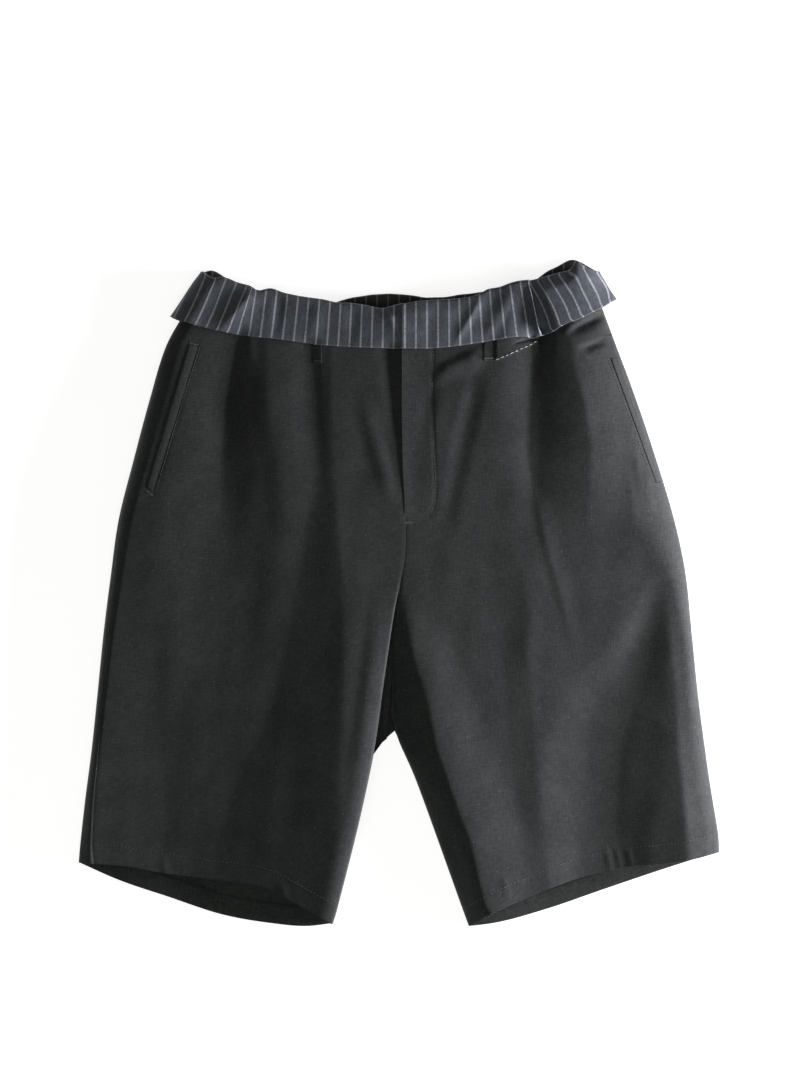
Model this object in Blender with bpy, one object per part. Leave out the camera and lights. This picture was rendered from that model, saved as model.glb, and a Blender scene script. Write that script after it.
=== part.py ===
"""Knee-length tailored trousers laid flat, front up, with a pinstripe band turned down over the waist.

All sizes are millimetres, turned to metres where a mesh is made. +X is the wearer's left, +Y runs to the
waist, +Z is up, and the back lies on z = 0. Each half of the garment is one tube, read by two numbers:
`s` counts stations from the top edge (0) over the waist seam (1), the end of the front rise (6) and the
fork (9) to the hem (12), and `c` goes round it, from the centre front or inseam (0) over the front to the
side fold (16), then under it along the back to the centre back or inseam again (25). Every piece is a
patch of that tube, or lies on it, moved in or out.
"""

import math
from collections import namedtuple

import bmesh
import bpy
import numpy as np

MM = 0.001

# Cloth and seams
CLOTH = 1.2  # wall of the suiting
BAND_CLOTH = 1.0  # wall of the striped band, the loops' backing and the welts
HEM_CLOTH = 2.5  # two layers, where the hem is turned up
SEAM_GAP = 0.3  # between pieces that meet edge to edge
SIDE_GAP = 0.5  # between the front and the back at the side seam, where their inner faces lean together
LAY_GAP = 0.4  # between pieces that lie on each other

# Stations along the tube
WAIST_SEAM = 1.0
RISE_END = 6.0
FORK = 9.0
TURN_UP = 11.0
HEM = 12.0
WAIST_BOW_END = 4.0  # the curve of the waist seam has faded here
CUT = 0.004  # half a gap across the rows at the waist seam
HEM_STEP = 0.01  # half the step in thickness at the turn-up
FORK_CLOSING = 0.15  # over this much above the fork, the back's inner edge rises to the inseam

# Columns round the tube
INNER_ROUND = 4.0
OUTER_ROUND = 11.0
SIDE_FOLD = 16.0
BACK_FLOOR = 18.0
BACK_INNER = 23.0
BACK_CENTRE = 25.0
FLOOR_COLUMNS = np.linspace(BACK_FLOOR, BACK_INNER, 10)
INSEAM_FRONT = 0.03  # the front starts this far past the inseam, and the back stops this far before it
INSEAM_BACK = 0.09

# How the laid tube is rounded
SIDE_RADIUS = 3.2  # of the back's turn at the side, and how much more of it there is at the waist
WAIST_RADIUS_MORE = 1.4
INNER_REACH = 45.0  # the front slopes down to the inseam over this width
FORK_LOW = -225.0  # below this y the inseam lies in the fold of the leg
RISE_X = 5.0  # where the front rise ends
RISE_Y = 36.0
LIFT_FROM = 200.0  # the back climbs over the band's hidden leg between these two
LIFT_TO = 228.0

# Layers at the waist, measured out from the waistband's face
BAND_OUT = LAY_GAP + CLOTH + SEAM_GAP + BAND_CLOTH  # a belt loop lies between them
BAND_IN = -(CLOTH + LAY_GAP + BAND_CLOTH)
BAND_SEAM_GAP = 0.8  # between the front and back parts of the band, whose rolls lean apart
BAND_CLEAR = 0.4  # between the waistband's top edge and the roll of the band over it
BAND_BELOW = 1.13  # station of the band's lower edge
BAND_TURN_DEPTH = 0.7  # station that the inner leg of the band reaches
BAND_FLARE = {"right": 6.0, "left": 11.0}  # how far its lower edge stands off sideways at the side folds
BAND_FLARE_WIDTH = 20.0
BAND_INSIDE_START = 0.02  # station where the inner leg starts under the roll

Station = namedtuple("Station", "outer_x outer_y inner_x inner_y")
Bow = namedtuple("Bow", "across rise")  # across: 0 at the side, 1 at the centre; rise: mm towards +Y
Level = namedtuple("Level", "y crown reach")  # reach: the width that slopes down to the side fold
Inset = namedtuple("Inset", "station inset")
Fold = namedtuple("Fold", "x0 y0 x1 y1 width height")
Leg = namedtuple(
    "Leg", "name side stations levels seam_inset seam_end front_top back_top seam front_hem back_hem"
)  # seam_end: y where the back's floor leaves the centre seam

RIGHT = Leg(
    name="right",
    side=-1,
    stations=(
        Station(-197, 320, 3, 287.5),
        Station(-216, 281, 3, 250),
        Station(-234, 247, 3, 222),
        Station(-250, 195, 3, 180),
        Station(-266, 135, 4, 128),
        Station(-281, 75, 6, 80),
        Station(-289, 18, RISE_X, RISE_Y),
        Station(-296, -38, -5, -20),
        Station(-302, -98, -15, -88),
        Station(-308, -155, -24, -152),
        Station(-314.5, -205, -40, -228),
        Station(-319.3, -248, -60.5, -309.8),
        Station(-321, -268, -66, -329),
    ),
    levels=(
        Level(-335, 16, 18), Level(-250, 18, 19), Level(-150, 22, 20), Level(20, 25, 22),
        Level(150, 24, 22), Level(245, 20, 20), Level(325, 17, 18),
    ),
    seam_inset=(
        Inset(0, 1.5), Inset(5, 1.5), Inset(6, 3), Inset(9, 8), Inset(10, 10), Inset(12, 16),
    ),
    seam_end=-142.0,
    front_top=(
        Bow(0, 0), Bow(0.05, -3.5), Bow(0.25, -6), Bow(0.5, -8.5), Bow(0.72, -7), Bow(0.88, -7),
        Bow(1, 0),
    ),
    back_top=(
        Bow(0, 0), Bow(0.03, 3), Bow(0.1, -1), Bow(0.25, -10), Bow(0.6, -14), Bow(0.79, 2.5),
        Bow(1, 10.5),
    ),
    seam=(
        Bow(0, 0), Bow(0.1, -5.3), Bow(0.25, -8.2), Bow(0.46, -7.8), Bow(0.7, -6.8), Bow(0.9, -2.5),
        Bow(1, 0),
    ),
    front_hem=(
        Bow(0, 0), Bow(0.15, 7), Bow(0.35, 10.5), Bow(0.55, 16.5), Bow(0.73, 20), Bow(0.9, 8),
        Bow(1, 0),
    ),
    back_hem=(
        Bow(0, 0), Bow(0.15, -7.8), Bow(0.35, -13), Bow(0.57, -17.9), Bow(0.75, -15), Bow(0.9, -9),
        Bow(1, 0),
    ),
)
LEFT = Leg(
    name="left",
    side=1,
    stations=(
        Station(199, 321, 3, 287.5),
        Station(200, 299, 3, 250),
        Station(215, 256, 3, 222),
        Station(238, 195, 3, 180),
        Station(258, 135, 4, 128),
        Station(276, 75, 6, 80),
        Station(287, 22, RISE_X, RISE_Y),
        Station(293, -35, -6, -32),
        Station(299, -95, -7, -90),
        Station(305, -142, -3.5, -136),
        Station(311.5, -188, 19, -191),
        Station(319.5, -237, 63, -313),
        Station(321, -257, 70, -332),
    ),
    levels=(
        Level(-335, 20, 44), Level(-250, 22, 44), Level(-150, 25, 46), Level(20, 25, 52),
        Level(150, 24, 50), Level(245, 20, 28), Level(325, 17, 20),
    ),
    seam_inset=(Inset(0, 0), Inset(12, 0)),
    seam_end=-124.0,
    front_top=(
        Bow(0, 0), Bow(0.15, 4.8), Bow(0.31, 2.2), Bow(0.51, 1), Bow(0.61, -3.5), Bow(0.87, -1),
        Bow(1, 0),
    ),
    back_top=(
        Bow(0, 0), Bow(0.12, 14.5), Bow(0.24, 9), Bow(0.4, -4), Bow(0.55, -1), Bow(0.8, 1),
        Bow(1, 10.5),
    ),
    seam=(
        Bow(0, 0), Bow(0.13, -15), Bow(0.27, -21), Bow(0.43, -16), Bow(0.65, -12.5), Bow(0.87, -6.5),
        Bow(1, 0),
    ),
    front_hem=(
        Bow(0, 0), Bow(0.13, 2), Bow(0.24, 6.6), Bow(0.4, 13.8), Bow(0.77, 12.8), Bow(0.93, 6),
        Bow(1, 0),
    ),
    back_hem=(Bow(0, 0), Bow(0.2, -0.9), Bow(0.47, -3.5), Bow(0.69, -6), Bow(0.91, -4), Bow(1, 0)),
)


# The largest folds: soft ridges (height > 0) and troughs (height < 0) along a line
FOLDS = (
    Fold(-162, 240, -171, 150, 16, -5),  # valley below the right front of the band
    Fold(-195, 220, -205, 120, 22, 2.5),  # ridge beside it
    Fold(-112, 225, -118, 120, 26, 3),
    Fold(-66, 110, -53, -110, 16, 3.5),  # pressed crease of the right leg
    Fold(-53, -110, -58, -225, 16, 3),
    Fold(-88, 85, -120, -110, 22, -3),
    Fold(-34, 184, -12, 109, 18, -2),
    Fold(155, 225, 160, 120, 30, -6),  # hollow over the left hip
    Fold(113, 220, 115, 100, 14, 2.5),
    Fold(79, 195, 65, 106, 16, -3),
    Fold(113, 68, 130, -52, 16, 3.5),  # pressed crease of the left leg
    Fold(130, -52, 146, -264, 16, 3),
    Fold(262, 25, 231, -70, 24, -5),  # drag towards the left side
    Fold(30, -40, 60, -250, 35, -4),  # inner thigh
    Fold(4, 120, 5, 20, 30, -5),  # the rise sinks towards the fork
)
FOLDS_FADE_FROM = 235.0  # the waist layers lie flat above this y
FOLDS_FADE_TO = 215.0

# Fly: the left front laps over the right one
FLY_END_Y = 72.0
FLY_END_RAMP = 15.0
FLY_RAISE = 1.4
FLY_RAISE_WIDTH = 11.0
SHIELD_X = (-2.0, 38.0)
SHIELD_Y = (246.0, 70.0)
SHIELD_GAP = 0.8

# Fork of the back, brought forward between the legs
FORK_TUCK = 6.0  # how far it lies under the front's edges
FORK_SAG = 5.0
FORK_ABOVE_FLOOR = 0.05
FORK_TOP_Y = RISE_Y + 8.0
SADDLE_X = -12.0  # where the centre back seam folds over and under
SADDLE_Y = -140.0
SADDLE_SLOPE = 0.9  # the fold runs up towards the wearer's left
SADDLE_UNDER = 14.0
FORK_ROWS = 8
FORK_COLUMNS = 4

# Pleat, where the right-hand part of the band laps over the side part
PLEAT_TOP_X = 131.0
PLEAT_LOW_X = 142.0
PLEAT_GAP = 1.0  # between their inner legs
PLEAT_TUCK = 14.0  # how far the side part runs under the front part
PLEAT_RAISE = BAND_CLOTH + LAY_GAP
PLEAT_RAMP = 45.0
PLEAT_EDGE = 2.0  # the lap is fully raised this far before the hidden end

WELT_GAP = 0.7

Lane = namedtuple("Lane", "x0 y0 x1 y1")  # a line across a strip, from one of its sides to the other
WELTS = {
    "pocket_welt_right": (RIGHT, Lane(-209.4, 250, -200.6, 248), Lane(-251, 108, -245, 103)),
    "pocket_welt_left": (LEFT, Lane(212, 236, 219, 238), Lane(257, 113, 262, 114)),
}
FRONT_LOOPS = {
    "belt_loop_front_right": (RIGHT, Lane(-85, 231.5, -77, 231.5), Lane(-86, 280, -78, 280)),
    "belt_loop_front_left": (LEFT, Lane(84.5, 234, 94.5, 234), Lane(85.5, 284, 95.5, 284)),
}
BACK_LOOPS = {"belt_loop_back_right": -118.0, "belt_loop_back_centre": 2.0, "belt_loop_back_left": 112.0}
BACK_LOOP_WIDTH = 10.0
BACK_LOOP_Y = (233.0, 281.0)
FACING_TOP = Lane(97, 256, 140, 262)
FACING_LOW = Lane(97, 233.5, 140, 252.5)

SUITING = (0.022, 0.024, 0.023)
PINSTRIPE = (0.05, 0.055, 0.065)


def smooth_step(low, high, value):
    t = np.clip((np.asarray(value, float) - low) / (high - low), 0, 1)
    return t * t * (3 - 2 * t)


def through(knots, values, at):
    """A smooth curve through (knot, value) pairs, read at `at`: cubic pieces with the neighbours' slope."""
    knots = np.asarray(knots, float)
    values = np.asarray(values, float)
    slopes = np.gradient(values, knots)
    at = np.clip(np.asarray(at, float), knots[0], knots[-1])
    i = np.clip(np.searchsorted(knots, at, side="right") - 1, 0, len(knots) - 2)
    step = knots[i + 1] - knots[i]
    t = (at - knots[i]) / step
    start = (2 * t**3 - 3 * t**2 + 1) * values[i] + (t**3 - 2 * t**2 + t) * step * slopes[i]
    end = (3 * t**2 - 2 * t**3) * values[i + 1] + (t**3 - t**2) * step * slopes[i + 1]
    return start + end


def column(table, knot, value, at):
    """Reads a table of rows: the named column `value` against the named column `knot`."""
    return through([getattr(row, knot) for row in table], [getattr(row, value) for row in table], at)


def station(leg, name, s):
    return through(range(len(leg.stations)), [getattr(row, name) for row in leg.stations], s)


def outline_x(leg, edge, y):
    """x of the leg's outer or inner edge at a given y."""
    s = np.linspace(0, HEM, 241)
    ys = station(leg, edge + "_y", s)
    xs = station(leg, edge + "_x", s)
    return np.interp(y, ys[::-1], xs[::-1])


def rounding(t):
    return np.sqrt(1 - (1 - np.clip(t, 0, 1)) ** 2)


def folds(x, y):
    total = np.zeros(np.broadcast(x, y).shape)
    for fold in FOLDS:
        run = np.array([fold.x1 - fold.x0, fold.y1 - fold.y0], float)
        t = np.clip(((x - fold.x0) * run[0] + (y - fold.y0) * run[1]) / run.dot(run), 0, 1)
        away = np.hypot(x - fold.x0 - t * run[0], y - fold.y0 - t * run[1])
        total += fold.height * np.exp(-((away / fold.width) ** 2))
    return total * smooth_step(FOLDS_FADE_FROM, FOLDS_FADE_TO, y)


def lift(y):
    """Height of the back's underside: the band's hidden leg lies under it at the waist."""
    return BAND_OUT * smooth_step(LIFT_FROM, LIFT_TO, y)


def fold_radius(y):
    return SIDE_RADIUS + WAIST_RADIUS_MORE * smooth_step(LIFT_FROM, LIFT_TO, y)


def outer_reach(leg, y):
    return column(leg.levels, "y", "reach", y)


def top_height(leg, x, y):
    """Height of the front's upper face."""
    edge = lift(y) + fold_radius(y)
    parting = smooth_step(FORK_LOW, RISE_Y, y)
    from_outer = leg.side * (outline_x(leg, "outer", y) - x)
    from_inner = leg.side * (x - outline_x(leg, "inner", y))
    inner = parting + (1 - parting) * rounding(from_inner / INNER_REACH)
    share = rounding(from_outer / outer_reach(leg, y)) * inner
    height = edge + (column(leg.levels, "y", "crown", y) + folds(x, y) - edge) * share
    if leg is LEFT:
        lap = np.exp(-np.clip(x - outline_x(leg, "inner", y), 0, None) / FLY_RAISE_WIDTH)
        height = height + FLY_RAISE * lap * smooth_step(FLY_END_Y, FLY_END_Y + FLY_END_RAMP, y)
    return height


def saddle_y(x):
    """y of the fork's fold."""
    return SADDLE_Y + SADDLE_SLOPE * (x - SADDLE_X)


def back_seam_x(y):
    """x of the centre back seam between the end of the front rise and the saddle of the fork."""
    return RISE_X + (SADDLE_X - RISE_X) * (RISE_Y - y) / (RISE_Y - SADDLE_Y)


def bow(leg, face, s, across):
    """How far a row of the tube bends off the straight line between its two edges."""
    top = column(getattr(leg, face + "_top"), "across", "rise", across)
    seam = column(leg.seam, "across", "rise", across)
    hem = column(getattr(leg, face + "_hem"), "across", "rise", across)
    below = seam * smooth_step(WAIST_BOW_END, WAIST_SEAM, s)
    waist = np.where(s < WAIST_SEAM, top + (seam - top) * s, below)
    return waist + hem * smooth_step(FORK, TURN_UP, s)


def from_side(width, reach, radius, c):
    """Distance of column `c` from the side fold, seen from above."""
    quarter = math.pi / 2
    inner = quarter * np.clip(c / INNER_ROUND, 0, 1)
    middle = (c - INNER_ROUND) / (OUTER_ROUND - INNER_ROUND)
    outer = quarter * np.clip((SIDE_FOLD - c) / (SIDE_FOLD - OUTER_ROUND), 0, 1)
    under = quarter * np.clip((c - SIDE_FOLD) / (BACK_FLOOR - SIDE_FOLD), 0, 1)
    along = (c - BACK_FLOOR) / (BACK_INNER - BACK_FLOOR)
    back = quarter * np.clip((BACK_CENTRE - c) / (BACK_CENTRE - BACK_INNER), 0, 1)
    return np.select(
        [c < INNER_ROUND, c < OUTER_ROUND, c < SIDE_FOLD, c < BACK_FLOOR, c < BACK_INNER],
        [
            width - INNER_REACH * (1 - np.cos(inner)),
            (width - INNER_REACH) * (1 - middle) + reach * middle,
            reach * (1 - np.cos(outer)),
            radius * (1 - np.cos(under)),
            radius + (width - 2 * radius) * along,
        ],
        width - radius * (1 - np.cos(back)),
    )


def tube(leg, s, c):
    """The point of the leg's outer face at station `s` and column `c`."""
    s, c = np.broadcast_arrays(np.asarray(s, float), np.asarray(c, float))
    outer_x = station(leg, "outer_x", s)
    outer_y = station(leg, "outer_y", s)
    inner_x = station(leg, "inner_x", s)
    inner_y = station(leg, "inner_y", s)
    on_back = c > SIDE_FOLD
    # The centre back seam runs on under the front, to the saddle of the fork
    to_saddle = on_back & (s > RISE_END) & (s < FORK)
    down = (s - RISE_END) / (FORK - RISE_END)
    inner_y = np.where(to_saddle, RISE_Y + (leg.seam_end - RISE_Y) * down, inner_y)
    inner_x = np.where(to_saddle, back_seam_x(inner_y), inner_x)
    width = np.abs(inner_x - outer_x)
    across = from_side(width, outer_reach(leg, outer_y), fold_radius(outer_y), c) / width
    x = outer_x + (inner_x - outer_x) * across
    rise = np.where(on_back, bow(leg, "back", s, across), bow(leg, "front", s, across))
    y = outer_y + (inner_y - outer_y) * across + rise
    floor = lift(y)
    turn = np.clip((c - SIDE_FOLD) / (BACK_FLOOR - SIDE_FOLD), 0, 1) * math.pi / 2
    curl = np.clip((BACK_CENTRE - c) / (BACK_CENTRE - BACK_INNER), 0, 1) * math.pi / 2
    inner_edge = top_height(leg, inner_x, inner_y)
    closed = np.clip((s - FORK + FORK_CLOSING) / FORK_CLOSING, 0, 1)
    z = np.where(
        on_back,
        floor
        + fold_radius(outer_y) * (1 - np.sin(turn))
        + closed * inner_edge * (1 - np.sin(curl)),
        top_height(leg, x, y),
    )
    return np.stack([x, y, z], axis=-1)


def outward(leg, s, c):
    """Unit normal of the tube's outer face."""
    s, c = np.broadcast_arrays(np.asarray(s, float), np.asarray(c, float))
    step = 0.06
    closed = s >= FORK
    after = np.where(closed, (c + step) % BACK_CENTRE, np.minimum(c + step, BACK_CENTRE))
    before = np.where(closed, (c - step) % BACK_CENTRE, np.maximum(c - step, 0))
    round_it = tube(leg, s, after) - tube(leg, s, before)
    along_it = tube(leg, np.minimum(s + 0.02, HEM), c) - tube(leg, np.maximum(s - 0.02, 0), c)
    normal = -leg.side * np.cross(round_it, along_it)
    return normal / np.linalg.norm(normal, axis=-1, keepdims=True)


def seam_column(leg, s):
    """Column of the side seam: it lies on the front of the right leg and in the fold of the left one."""
    inset = column(leg.seam_inset, "station", "inset", s)
    angle = np.arccos(1 - inset / outer_reach(leg, station(leg, "outer_y", s)))
    return SIDE_FOLD - angle / (math.pi / 2) * (SIDE_FOLD - OUTER_ROUND)


def beside(leg, s, c, direction, gap=SIDE_GAP):
    """The column half a gap away from `c`."""
    per_column = np.linalg.norm(tube(leg, s, c + direction) - tube(leg, s, c))
    return c + direction * gap / 2 / per_column


def front_columns(leg, s):
    """The columns of a row of the front, from the centre or inseam to the side seam."""
    centre = math.degrees(math.acos(1 - SEAM_GAP / 2 / INNER_REACH)) / 90 * INNER_ROUND
    first = centre if s < FORK else INSEAM_FRONT
    last = beside(leg, s, seam_column(leg, s), -1)
    middle = np.arange(1, OUTER_ROUND)
    return np.concatenate([[first], middle, np.linspace(OUTER_ROUND, last, 6)])


def back_columns(leg, s):
    """The columns of a row of the back, from the side seam to the centre or inseam."""
    first = beside(leg, s, seam_column(leg, s), 1)
    wrap = np.linspace(first, SIDE_FOLD + 0.001, 3) if first < SIDE_FOLD else np.array([first])
    centre = BACK_CENTRE - math.degrees(math.acos(1 - SEAM_GAP / 2 / fold_radius(0))) / 90 * 2
    last = centre if s < FORK else BACK_CENTRE - INSEAM_BACK
    return np.concatenate([wrap, [SIDE_FOLD + 1], FLOOR_COLUMNS, [BACK_INNER + 1, last]])


def patch(leg, rows, columns):
    """Points and normals of a patch of the tube, one row for each station."""
    lines = [columns(leg, s) for s in rows]
    points = np.array([tube(leg, s, c) for s, c in zip(rows, lines)])
    normals = np.array([outward(leg, s, c) for s, c in zip(rows, lines)])
    return points, normals


def grid_normals(points, up):
    """Normals of a free grid, on the side that `up` points to."""
    normals = np.cross(np.gradient(points, axis=1), np.gradient(points, axis=0))
    normals /= np.linalg.norm(normals, axis=-1, keepdims=True)
    return normals * (1 if (normals @ np.asarray(up, float)).sum() > 0 else -1)


def wall(name, points, normals, thickness, colour, roughness=0.9):
    """A closed wall of cloth: the outer face is the grid, the inner one lies `thickness` below it."""
    depth = np.broadcast_to(np.asarray(thickness, float).reshape(-1, 1, 1), (len(points), 1, 1))
    inner = points - normals * depth
    mesh = bpy.data.meshes.new(name)
    build = bmesh.new()
    faces = [[[build.verts.new(p * MM) for p in row] for row in grid] for grid in (points, inner)]
    rows, columns = points.shape[:2]
    for grid in faces:
        for i in range(rows - 1):
            for j in range(columns - 1):
                build.faces.new((grid[i][j], grid[i + 1][j], grid[i + 1][j + 1], grid[i][j + 1]))
    rim = [(0, j) for j in range(columns)] + [(i, columns - 1) for i in range(1, rows)]
    rim += [(rows - 1, j) for j in range(columns - 2, -1, -1)] + [(i, 0) for i in range(rows - 2, 0, -1)]
    for (i, j), (k, m) in zip(rim, rim[1:] + rim[:1]):
        build.faces.new((faces[0][i][j], faces[0][k][m], faces[1][k][m], faces[1][i][j]))
    bmesh.ops.recalc_face_normals(build, faces=build.faces)
    build.to_mesh(mesh)
    build.free()
    mesh.shade_smooth()
    mesh.set_sharp_from_angle(angle=math.radians(40))
    piece = bpy.data.objects.new(name, mesh)
    bpy.context.collection.objects.link(piece)
    mesh.materials.append(finish(name, colour, roughness))
    return piece


def finish(name, colour, roughness):
    material = bpy.data.materials.new(name)
    material.use_nodes = True
    shader = material.node_tree.nodes["Principled BSDF"]
    shader.inputs["Base Color"].default_value = (*colour, 1)
    shader.inputs["Roughness"].default_value = roughness
    return material


def leg_rows(extra=()):
    """Stations of a leg panel: every half station, with the step of the turned-up hem."""
    rows = list(np.arange(WAIST_SEAM + 0.5, TURN_UP, 0.5))
    rows += [WAIST_SEAM + CUT, TURN_UP - HEM_STEP, TURN_UP + HEM_STEP, HEM, *extra]
    return sorted(rows)


def hem_depth(rows):
    return [HEM_CLOTH if s > TURN_UP else CLOTH for s in rows]


def front(leg):
    rows = leg_rows()
    points, normals = patch(leg, rows, front_columns)
    wall("front_" + leg.name, points, normals, hem_depth(rows), SUITING)


def fork_grid(leg):
    """The part of the back that comes forward between the legs, folds over at the saddle and runs under."""
    rows = []
    for down in np.linspace(0, 1, FORK_ROWS):
        y = FORK_TOP_Y + (SADDLE_Y - FORK_TOP_Y) * down
        edge = outline_x(leg, "inner", y)
        x = np.linspace(edge + leg.side * FORK_TUCK, back_seam_x(y) + leg.side * SEAM_GAP / 2, FORK_COLUMNS)
        ys = y + (saddle_y(x) - SADDLE_Y) * down
        sag = FORK_SAG * math.sin(math.pi * down) * np.linspace(0, 1, FORK_COLUMNS)
        under_edge = top_height(leg, outline_x(leg, "inner", ys), ys) - CLOTH - LAY_GAP
        rows.append(np.stack([x, ys, under_edge - sag], axis=-1))
    normals = list(grid_normals(np.array(rows), (0, 0, 1)))
    last = rows[-1]
    radius = last[:, 2] / 2
    for turn in np.radians((30, 60, 90, 120, 150, 180)):
        row = last.copy()
        row[:, 1] -= radius * math.sin(turn)
        row[:, 2] = radius * (1 + math.cos(turn)) + FORK_ABOVE_FLOOR
        rows.append(row)
        normals.append(np.tile((0, -math.sin(turn), math.cos(turn)), (FORK_COLUMNS, 1)))
    under = rows[-1].copy()
    under[:, 0] += back_seam_x(SADDLE_Y + SADDLE_UNDER) - SADDLE_X
    under[:, 1] += SADDLE_UNDER
    rows.append(under)
    normals.append(normals[-1])
    return np.array(rows), np.array(normals)


def back(leg):
    rows = leg_rows(extra=(FORK - FORK_CLOSING,))
    points, normals = patch(leg, rows, back_columns)
    panel = wall("back_" + leg.name, points, normals, hem_depth(rows), SUITING)
    fork = wall("fork_" + leg.name, *fork_grid(leg), CLOTH, SUITING)
    fork.hide_render = True
    fork.display_type = "WIRE"
    union = panel.modifiers.new("fork", "BOOLEAN")
    union.operation = "UNION"
    union.object = fork


def waistbands(leg):
    rows = (0, WAIST_SEAM / 2, WAIST_SEAM - CUT)
    for face, columns in (("front", front_columns), ("back", back_columns)):
        points, normals = patch(leg, rows, columns)
        wall(f"waistband_{face}_{leg.name}", points, normals, CLOTH, SUITING)


def band_wall(name, legs, raised=None):
    """A stretch of the band: up its outer leg, over the top edge of the waistband and down inside it.

    `legs` holds (leg, columns outside, columns inside) in order round the waist; `raised` gives the
    extra height of the outer leg at each x.
    """
    grids = []
    for leg, columns, inside in legs:
        lines = []
        for s in (BAND_BELOW, WAIST_SEAM, WAIST_SEAM / 2, 0):
            c = columns(leg, s)
            base = tube(leg, s, c)
            normal = outward(leg, s, c)
            out = BAND_OUT + (raised(base[:, 0]) if raised else 0 * base[:, 0])[:, None]
            from_fold = base[:, :1] - station(leg, "outer_x", s)
            flare = BAND_FLARE[leg.name] * s * np.exp(-((from_fold / BAND_FLARE_WIDTH) ** 2))
            lines.append((base + normal * out + flare * np.array((leg.side, 0, 0)), normal))
        up = base - tube(leg, 0.05, c)
        up /= np.linalg.norm(up, axis=-1, keepdims=True)
        middle = (out + BAND_IN) / 2
        radius = (out - BAND_IN) / 2
        for turn in np.radians((45, 90, 135)):
            away = up * math.sin(turn) + normal * math.cos(turn)
            lines.append((base + up * BAND_CLEAR + normal * middle + away * radius, away))
        for s in (BAND_INSIDE_START, BAND_TURN_DEPTH / 2, BAND_TURN_DEPTH):
            c = inside(leg, s)
            normal = outward(leg, s, c)
            lines.append((tube(leg, s, c) + normal * BAND_IN, -normal))
        grids.append(np.array(lines))
    points, normals = np.concatenate(grids, axis=2).transpose(1, 0, 2, 3)
    wall(name, points, normals, BAND_CLOTH, PINSTRIPE, 0.75)


def pleat_column(leg, s, beyond):
    """Column that lies `beyond` mm past the pleat, towards the side."""
    outer = station(leg, "outer_x", s)
    width = abs(station(leg, "inner_x", s) - outer)
    pleat = PLEAT_TOP_X + (PLEAT_LOW_X - PLEAT_TOP_X) * s + beyond
    flat = width - INNER_REACH - outer_reach(leg, station(leg, "outer_y", s))
    middle = (OUTER_ROUND - INNER_ROUND) / flat
    return INNER_ROUND + (width - INNER_REACH - abs(outer - pleat)) * middle


def front_to_pleat(leg, s):
    """Columns of the left front from the centre to the pleat."""
    return np.concatenate([np.arange(1, INNER_ROUND), np.linspace(INNER_ROUND, pleat_column(leg, s, 0), 6)])


def pleat_to_side(leg, s):
    """Columns of the left front from the pleat to the side fold."""
    last = beside(leg, s, SIDE_FOLD, -1, BAND_SEAM_GAP)
    first = pleat_column(leg, s, PLEAT_GAP)
    return np.concatenate([np.linspace(first, OUTER_ROUND, 4)[:-1], np.linspace(OUTER_ROUND, last, 6)])


def under_pleat_to_side(leg, s):
    """The same columns, from under the front part of the band, less so towards its top edge."""
    columns = pleat_to_side(leg, s)
    columns[0] = pleat_column(leg, s, PLEAT_GAP - PLEAT_TUCK * smooth_step(0, 0.5, s))
    return columns


def side_to_centre(leg, s):
    """Columns of the right front, from the side fold to the centre."""
    last = beside(leg, s, SIDE_FOLD, -1, BAND_SEAM_GAP)
    return np.concatenate([np.arange(0, OUTER_ROUND), np.linspace(OUTER_ROUND, last, 6)])[::-1]


def behind(leg, s):
    first = beside(leg, s, SIDE_FOLD, 1, BAND_SEAM_GAP)
    columns = np.concatenate([[first, SIDE_FOLD + 1], FLOOR_COLUMNS, [BACK_INNER + 1, BACK_CENTRE]])
    return columns if leg is RIGHT else columns[-2::-1]


def lap_height(x):
    """Extra height of the band's front part where it laps over the side part."""
    return PLEAT_RAISE * smooth_step(PLEAT_LOW_X - PLEAT_RAMP, PLEAT_TOP_X - PLEAT_TUCK - PLEAT_EDGE, x)


def bands():
    band_wall(
        "band_front",
        ((RIGHT, side_to_centre, side_to_centre), (LEFT, front_to_pleat, front_to_pleat)),
        lap_height,
    )
    band_wall("band_side", ((LEFT, under_pleat_to_side, pleat_to_side),))
    band_wall("band_back", ((RIGHT, behind, behind), (LEFT, behind, behind)))


def on_front(leg, x, y, out):
    """Points over the front's upper face, moved out along its normal, with those normals."""
    step = 0.5
    slope_x = (top_height(leg, x + step, y) - top_height(leg, x - step, y)) / (2 * step)
    slope_y = (top_height(leg, x, y + step) - top_height(leg, x, y - step)) / (2 * step)
    normals = np.stack([-slope_x, -slope_y, np.ones_like(x)], axis=-1)
    normals /= np.linalg.norm(normals, axis=-1, keepdims=True)
    points = np.stack([x, y, top_height(leg, x, y)], axis=-1) + normals * out
    return points, normals


def strip(name, leg, first, last, steps, wide, out, thickness):
    """A flat piece on the front, between the lines `first` and `last` across it."""
    down = np.linspace(0, 1, steps)[:, None]
    across = np.linspace(0, 1, wide)
    (x0, y0), (x1, y1) = (
        (lane.x0 + (lane.x1 - lane.x0) * across, lane.y0 + (lane.y1 - lane.y0) * across)
        for lane in (first, last)
    )
    x = x0 + (x1 - x0) * down
    y = y0 + (y1 - y0) * down
    points, normals = on_front(leg, x, y, out + thickness)
    wall(name, points, normals, thickness, SUITING)


def back_loop(name, x):
    """A belt loop on the hidden back, between the waistband and the band's outer leg."""
    xs = np.array((x - BACK_LOOP_WIDTH / 2, x + BACK_LOOP_WIDTH / 2))
    ys = np.array(BACK_LOOP_Y)
    grid = np.zeros((2, 2, 3))
    grid[..., 0] = xs
    grid[..., 1] = ys[:, None]
    grid[..., 2] = BAND_OUT - LAY_GAP - CLOTH
    wall(name, grid, np.tile((0.0, 0.0, -1.0), (2, 2, 1)), CLOTH, SUITING)


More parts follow.
